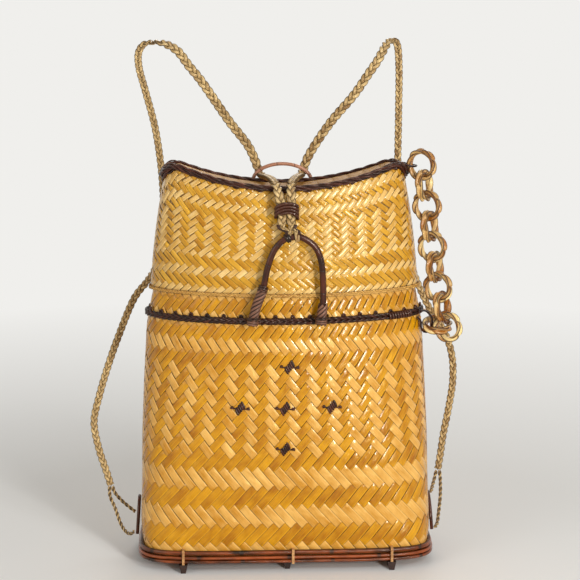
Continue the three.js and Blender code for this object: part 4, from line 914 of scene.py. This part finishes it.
# Base frame: two split canes bent round the foot, the lower one in two layers
LOWER_HALF_DEPTH, LOWER_HALF_HEIGHT = 2.8, 3.7
UPPER_HALF_DEPTH, UPPER_HALF_HEIGHT = 2.3, 2.35
FRAME_STEP = 0.0022
foot_size = body_size(FOOT_HEIGHT)
lower_line = rim_line(foot_size, GAP + LOWER_HALF_DEPTH, FOOT_HEIGHT + LOWER_HALF_HEIGHT, FRAME_STEP)
strands("base_frame_lower", "canes", lower_line, UPWARD, FRAME_CANE, (0.0037, 0.0056), count=2,
        spread=(0.00185, 0.0), sides=14, closed=True, seed=41, slot="frame_cane")
upper_height = FOOT_HEIGHT + 2 * LOWER_HALF_HEIGHT + GAP + UPPER_HALF_HEIGHT
upper_line = rim_line(foot_size, GAP + UPPER_HALF_DEPTH, upper_height, FRAME_STEP)
strands("base_frame_upper", "cane", upper_line, UPWARD, FRAME_CANE, (0.0046, 0.0045), sides=14, closed=True,
        seed=42, slot="frame_cane")

# Strap ears: half ovals of cane on the sides, that lean in as they rise
EAR_FOOT, EAR_MIDDLE, EAR_HALF_SPAN, EAR_RISE, EAR_LEAN, EAR_HALF_CANE = 20.7, 7, 16, 33, 2.3, 1.6
WIDEST = STATIONS[:, 1].max()
for ear_name, ear_side in (("left", -1), ("right", 1)):
    ear = []
    for angle in np.linspace(0, np.pi, 9):
        ear_rise = EAR_RISE * math.sin(angle)
        out = WIDEST + GAP + EAR_HALF_CANE + EAR_LEAN * (EAR_RISE - ear_rise) / EAR_RISE
        ear.append((ear_side * out, EAR_MIDDLE - EAR_HALF_SPAN * math.cos(angle),
                    EAR_FOOT + GAP + EAR_HALF_CANE + ear_rise))
    strands(f"strap_ear_{ear_name}", "cane", smooth_line(ear, 0.001), ACROSS, HOOP_CANE, (0.0032, 0.0032),
            sides=12, seed=51)

# Front hoop, with the wound strips on its legs
HOOP_HALF_WIDTH, HOOP_FRONT, HOOP_FOOT, HOOP_RISE = 32.6, -62.4, 238, 82
HOOP_SHARES = [(-1.01, 0), (-0.9, 0.2), (-0.7, 0.42), (-0.56, 0.67), (-0.34, 0.88), (-0.04, 0.985), (0.14, 1),
               (0.37, 0.997), (0.76, 0.89), (0.93, 0.735), (0.99, 0.5), (0.99, 0.24), (0.93, 0)]
hoop_points = [(HOOP_HALF_WIDTH * x, HOOP_FRONT, HOOP_FOOT + HOOP_RISE * z) for x, z in HOOP_SHARES]
hoop_line = smooth_line(hoop_points, 0.0006)
strands("front_hoop", "cane", hoop_line, BACKWARD, HOOP_CANE, (0.006, 0.006), sides=18, seed=52)

# Bindings, given by where they begin and end along the hoop and where the turns at their foot begin
hoop_length = length_of(hoop_line) / MM
for node, low, high, foot_low in (
    ("hoop_binding_left", 0.3, 36, 0.2),
    ("hoop_binding_right", hoop_length - 19, hoop_length - 0.3, hoop_length - 5.2),
):
    bound, _ = stretch(hoop_line, low * MM, high * MM, 60)
    strands(node, "strips", bound, BACKWARD, BINDING_CANE, (0.0031, 0.0015), count=6,
            spread=(0.0039, 0.0039), lay=0.027, beats=1.0, flatness=0.0, seed=53)
    wound(node, "foot_turns", hoop_line, (foot_low, foot_low + 5), 4.9, 2.4, BINDING_CANE, (0.0024, 0.0014),
          seed=54)
wound("hoop_binding_left", "top_turns", hoop_line, (33, 38.5), 4.5, 2.6, DARK_CANE, (0.002, 0.0011), seed=55)


# Lashings that hold the hoop's legs to the neck: three strands round each leg
def hoop_at(height, side):
    """Where a leg of the hoop is across the basket."""
    half = len(hoop_line) // 2
    leg = hoop_line[:half] if side < 0 else hoop_line[half:][::-1]
    return float(np.interp(height * MM, leg[:, 2], leg[:, 0])) / MM


BRAID_RISE, LASHING_REACH, LASHING_HALF_HEIGHT, LASHING_SINK = 3.2, 6.6, 1.3, 0.6
lashing_bottom = MOUTH_HEIGHT + BRAID_RISE + GAP
lashing_height = lashing_bottom + LASHING_HALF_HEIGHT
for lash_name, lash_side in (("left", -1), ("right", 1)):
    across = hoop_at(lashing_height, lash_side)
    wall = front_wall(abs(across) - LASHING_REACH, lashing_bottom) - LASHING_SINK
    bend = [(across + LASHING_REACH * math.cos(a), HOOP_FRONT + LASHING_REACH * math.sin(a), lashing_height)
            for a in np.linspace(math.pi, 2 * math.pi, 9)]
    staple = [(across - LASHING_REACH, wall, lashing_height), *bend,
              (across + LASHING_REACH, wall, lashing_height)]
    strands(f"hoop_lashing_{lash_name}", "strands", smooth_line(staple, 0.0008), UPWARD, DARK_CANE,
            (0.0011, 0.001), count=3, spread=(0.00085, 0.00022), lay=0.06, seed=55)

# Rear hoop: an arch behind the lid's top, with its legs down the lid's back and its two lashings
REAR_HALF_WIDTH, REAR_BACK, REAR_LEG, REAR_ARCH, REAR_OUT = 28.4, 47.2, 26, 17.4, 3.3
lid_back_top = LID_HEIGHT - BACK_FALL


def rear_foot(side, height):
    share = (height - LID_RIM) / (lid_back_top - LID_RIM)
    back = LID_FOOT[1] + (LID_TOP[1] - LID_FOOT[1]) * share + LID_BULGE * share * (1 - share)
    return (side * REAR_HALF_WIDTH, back + REAR_OUT, height)


leg_heights = (lid_back_top - REAR_LEG, lid_back_top - REAR_LEG / 2)
rear_arch = [(REAR_HALF_WIDTH * math.cos(a), REAR_BACK, lid_back_top + REAR_ARCH * math.sin(a))
             for a in np.linspace(math.pi, 0, 9)]
rear_line = smooth_line([*(rear_foot(-1, height) for height in leg_heights), *rear_arch,
                         *(rear_foot(1, height) for height in leg_heights[::-1])], 0.0007)
strands("rear_hoop", "cane", rear_line, BACKWARD, REAR_CANE, (0.0036, 0.0036), sides=12, seed=56, ride="lid")
for rear_name, rear_start in (("left", 3), ("right", length_of(rear_line) / MM - 9)):
    wound(f"rear_hoop_lashing_{rear_name}", "strip", rear_line, (rear_start, rear_start + 6), 2.6, 3.4,
          DARK_CANE, (0.0018, 0.0011), seed=57, ride="lid")

# Slide ring: a cane wound round both straps, with its front arched up
STRAPS_APART, STRAP_WIDE, STRAP_DEEP = 8.3, 7.6, 3.6
COIL_CANE, COIL_TURNS, COIL_PITCH, COIL_POINTS = 3.8, 3.6, 4.3, 48
COIL_CENTRE, COIL_ARCH = (-0.85, -57, 340.9), 6.2
COIL_SQUEEZE, ARCH_SQUEEZE = 0.84, 0.2


def coil_points():
    """A coil on a slot: a straight, a half turn, the other straight and the other half turn."""
    coil_away = GAP + COIL_CANE / 2 + GAP
    end_radius = STRAP_DEEP / 2 + coil_away
    half_straight = (STRAPS_APART + STRAP_WIDE) / 2 + coil_away - end_radius
    straight, half_turn = 2 * half_straight, math.pi * end_radius
    points = []
    for turns in np.arange(0, COIL_TURNS, 1 / COIL_POINTS):
        run = (turns % 1) * 2 * (straight + half_turn)
        side = 1 if run < straight + half_turn else -1
        run %= straight + half_turn
        if run < straight:
            x, y = run - half_straight, -end_radius
        else:
            a = (run - straight) / end_radius - math.pi / 2
            x, y = half_straight + end_radius * math.cos(a), end_radius * math.sin(a)
        x, y = side * x, side * y
        arch = math.sqrt(max(0, 1 - (x / (half_straight + end_radius)) ** 2)) if y < 0 else 0
        climb = (turns - COIL_TURNS / 2) * COIL_PITCH * (COIL_SQUEEZE - ARCH_SQUEEZE * arch)
        points.append(np.array(COIL_CENTRE) + (x, y, climb + COIL_ARCH * arch))
    return points


strands("slide_ring", "canes", smooth_line(coil_points(), 0.0008), UPWARD, DARK_CANE, (0.003, 0.0027),
        sides=12, seed=58, ride="slide_ring")

# Closure: the strap ends below the ring and their wraps round the top of the hoop
HOOP_HALF_CANE, WRAP_HALF_LENGTH, WRAP_HALF_STRIP = 3, 2.3, 0.9
for side, across, top, aside, wrap, wrap_finish, wrap_slot in (
    ("left", 0.3, -5, -4.4, "hoop_wrap_dark", DARK_CANE, "dark_cane"),
    ("right", 8.9, 3.3, 4.2, "hoop_wrap_pale", STRAP_CANE, "strap_cane"),
):
    upper = np.where(hoop_line[:, 2] > (HOOP_FOOT + HOOP_RISE / 2) * MM)[0]
    seat = upper[np.argmin(abs(hoop_line[upper, 0] - across * MM))]
    run = length_of(hoop_line[: seat + 1]) / MM
    wound(wrap, "strip", hoop_line, (run - WRAP_HALF_LENGTH, run + WRAP_HALF_LENGTH),
          HOOP_HALF_CANE + WRAP_HALF_STRIP, 2.3, wrap_finish, (0.0029, 0.0016), seed=59, slot=wrap_slot)
    hoop_top = float(hoop_line[seat, 2]) / MM
    leg = [(top, -58, 331.2), (top * 0.8 + 0.6, -59.5, 327), (across * 0.7 + 1, HOOP_FRONT, hoop_top + 6),
           (across, -64.6, hoop_top + 2.6)]
    strands(f"closure_leg_{side}", "plait", smooth_line(leg, 0.0005), ACROSS, STRAP_CANE, (0.0026, 0.0014),
            count=3, spread=(0.0015, 0.0008), lay=0.014, seed=60, slot="strap_cane")
    dark = [(x + aside * (1 - 0.2 * place), y - 1.8, z) for place, (x, y, z) in enumerate(leg)]
    strands(f"closure_leg_{side}", "dark_strand", smooth_line(dark, 0.0005), ACROSS, DARK_CANE,
            (0.0017, 0.0013), count=2, spread=(0.0007, 0.0005), lay=0.03, seed=61)


# Chain: rings of twisted flat cane, each hung through the one before
def turned(axis, degrees):
    """A turn about an axis through the origin, as a matrix."""
    angle = math.radians(degrees)
    c, s, (x, y, z) = math.cos(angle), math.sin(angle), unit(np.array(axis, float))
    return np.array([
        [c + x * x * (1 - c), x * y * (1 - c) - z * s, x * z * (1 - c) + y * s],
        [y * x * (1 - c) + z * s, c + y * y * (1 - c), y * z * (1 - c) - x * s],
        [z * x * (1 - c) - y * s, z * y * (1 - c) + x * s, c + z * z * (1 - c)],
    ])


LINK_HALF_WIDTH, LINK_HALF_HEIGHT, LINK_CANE = 12.6, 13.4, 2.9
LINK_LINE = (11.5, 12.5)
LINK_CORNER, LINK_SLACK, LINK_POINTS = 3.5, 0.75, 72
FIRST_LINK, LAST_LINK_STEP, LAST_LINK_LEAN = (127.6, -15, 379.5), (-9.2, 5, 1), 106
ODD_TURN, EVEN_TURN = -30, 60
LINK_SWINGS = (0, 0, 0, 0, 0, -5, 0, -9)


def chain_places():
    """The centre and the turn of each ring: the first at the lid's corner, the last over the mouth braid."""
    inner = LINK_HALF_WIDTH - LINK_CANE
    corner_loss = inner - math.sqrt(inner**2 - LINK_CORNER**2)
    pitch = 2 * (LINK_HALF_HEIGHT - LINK_CANE) - corner_loss - LINK_SLACK
    tilt = math.degrees(math.atan((LID_FOOT[0] - LID_TOP[0]) / LID_TALL))
    drop = LINK_HALF_HEIGHT - LINK_CANE / 2
    places = [(np.array(FIRST_LINK), turned(BACKWARD, -tilt) @ turned(UPWARD, ODD_TURN))]
    for index, swing in enumerate(LINK_SWINGS):
        at, turn_now = places[-1]
        pivot = at + turn_now @ np.array([0, 0, -drop])
        hung = turn_now @ turned(ACROSS, swing)
        centre = pivot + hung @ np.array([0, 0, drop - pitch])
        quarter = ODD_TURN - EVEN_TURN if index % 2 else EVEN_TURN - ODD_TURN
        places.append((centre, hung @ turned(UPWARD, quarter)))
    places.append((places[-1][0] + LAST_LINK_STEP, turned(ACROSS, LAST_LINK_LEAN)))
    return places


link_angle = np.linspace(0, 2 * np.pi, LINK_POINTS, endpoint=False)
link_shape = np.stack([LINK_LINE[0] * np.cos(link_angle), 0 * link_angle,
                       LINK_LINE[1] * np.sin(link_angle)], 1)
for index, (link_centre, link_turn) in enumerate(chain_places()):
    node = f"chain_link_{index + 1:02d}"
    strands(node, "twist", (link_centre + link_shape @ link_turn.T) * MM, link_turn @ np.array(BACKWARD),
            RING_CANE, (0.005, 0.0025), count=3, spread=(0.0019, 0.0011), lay=0.038, beats=1.0,
            flatness=0.55, sides=12, closed=True, seed=70 + index, start=0.13 * index,
            ride="lid" if index == 0 else node, slot="ring_cane")

# Ornaments: five small diamonds of dark stitches with a knot at either side, tucked into the front
ORNAMENTS = {"top": (1.9, 197), "left": (-44.3, 158.2), "centre": (-2.3, 157.8), "right": (41.5, 158.5),
             "bottom": (-2.2, 119.2)}
DIAMOND = [((-4.4, -0.3), (-1.2, -6.6)), ((-2.9, 1.5), (0.2, -4.9)), ((-1.5, 3.3), (1.6, -3.2)),
           ((-0.1, 5), (3, -1.5)), ((1.2, 6.6), (4.3, 0.3))]
KNOTS = [((-8.8, 1.8), (-6.4, -0.7)), ((-9, -0.4), (-6.6, 1.9)), ((6.3, -1.4), (8.7, 1)),
         ((6.5, 0.9), (8.9, -1.6))]
NECKS = [((-7, 0.6), (-5.2, -0.4), (-3.2, 0.4)), ((3, 0.2), (5, -0.8), (7, 0))]
for number, (place, (middle, level)) in enumerate(ORNAMENTS.items()):
    for form, figures, proud, size, seed in (
        ("stitches", DIAMOND, 0.75, (0.0022, 0.0012), 90),
        ("knots", KNOTS, 0.8, (0.0021, 0.0015), 95),
        ("necks", NECKS, 0.7, (0.0014, 0.001), 100),
    ):
        lines = []
        for figure in figures:
            spots = [(middle + x, level + z) for x, z in figure]
            lines.append(smooth_line([(x, front_wall(x, z) - proud, z) for x, z in spots], 0.0005))
        strands(f"ornament_{place}", form, lines, ACROSS, DARK_RIM, size, tapered=True, seed=seed + number)

# Ties and bearers keep their solids
SOLID_FINISHES = {"chain_top_tie": DARK_TIE, "chain_rim_loop_dark": DARK_TIE, "chain_rim_loop_pale": TIE_CANE}
for place in ("left", "middle", "right"):
    SOLID_FINISHES[f"bearer_{place}"] = BEARER_WOOD
    SOLID_FINISHES[f"frame_tie_front_{place}"] = SOLID_FINISHES[f"frame_tie_back_{place}"] = FRAME_TIE
for node, finish in SOLID_FINISHES.items():
    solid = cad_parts[node]
    if not solid.material_slots:
        solid.data.materials.append(finish)
    solid.material_slots[0].material = finish

for used in (body_former, lid_former, top_former):
    bpy.data.objects.remove(used)


# Stage: a pale floor, a pale surround and soft lamps
def in_view(net):
    """1 for the rays that come from the camera, off a gloss or through a clear thing."""
    ray = net.node("ShaderNodeLightPath")
    return clamped(ray + ray.other(3) + ray.other(6))


BACKDROP, ROOM = paint(240, 239, 236), paint(158, 156, 152)
FLOOR_HALF = 6
GLOW_FROM, GLOW_OVER = 0.35, 0.9
floor_mesh = bpy.data.meshes.new("floor")
floor_mesh.from_pydata([(x * FLOOR_HALF, y * FLOOR_HALF, 0) for x, y in ((-1, -1), (1, -1), (1, 1), (-1, 1))],
                       [], [(0, 1, 2, 3)])
floor = linked("floor", floor_mesh)
floor_finish, floor_net, floor_shader = new_finish("pale_floor")
floor_shader.inputs["Base Color"].default_value = BACKDROP
floor_shader.inputs["Roughness"].default_value = 0.9
spot = floor_net.node("ShaderNodeTexCoord", pick=3)
away = floor_net.node("ShaderNodeVectorMath", {"operation": "LENGTH"}, spot, pick=1)
far = clamped((away - GLOW_FROM) / GLOW_OVER) * in_view(floor_net)
glow = floor_net.node("ShaderNodeEmission", None, BACKDROP, 1.0)
ground = floor_net.node("ShaderNodeMixShader", None, far, Term(floor_net, floor_shader.outputs[0]), glow)
floor_net.tree.links.new(ground.socket, floor_net.tree.nodes["Material Output"].inputs[0])
floor_mesh.materials.append(floor_finish)

world = bpy.data.worlds.new("soft_room")
bpy.context.scene.world = world
world.use_nodes = True
room = Net(world.node_tree)
background = world.node_tree.nodes["Background"]
room.tree.links.new(mixed(room, in_view(room), ROOM, BACKDROP).socket, background.inputs[0])
background.inputs[1].default_value = 1.0


def lamp(name, place, target, power, width, height):
    data = bpy.data.lights.new(name, "AREA")
    data.shape, data.size, data.size_y, data.energy = "ELLIPSE", width, height, power
    light = bpy.data.objects.new(name, data)
    bpy.context.scene.collection.objects.link(light)
    light.location = place
    aim(light, target)


lamp("key_lamp", (0.75, -1.25, 1.15), (0, 0, 0.22), 5.4, 0.45, 0.45)
lamp("window_lamp", (0.62, -1.5, 0.5), (0, 0, 0.3), 15, 0.2, 0.45)
lamp("fill_lamp", (-1.4, -1.1, 0.9), (0, 0, 0.2), 5.5, 1.1, 1.1)
lamp("back_lamp", (0.3, 1.5, 1.3), (0, 0, 0.25), 8, 0.9, 0.9)
bpy.context.scene.view_settings.view_transform = "Standard"
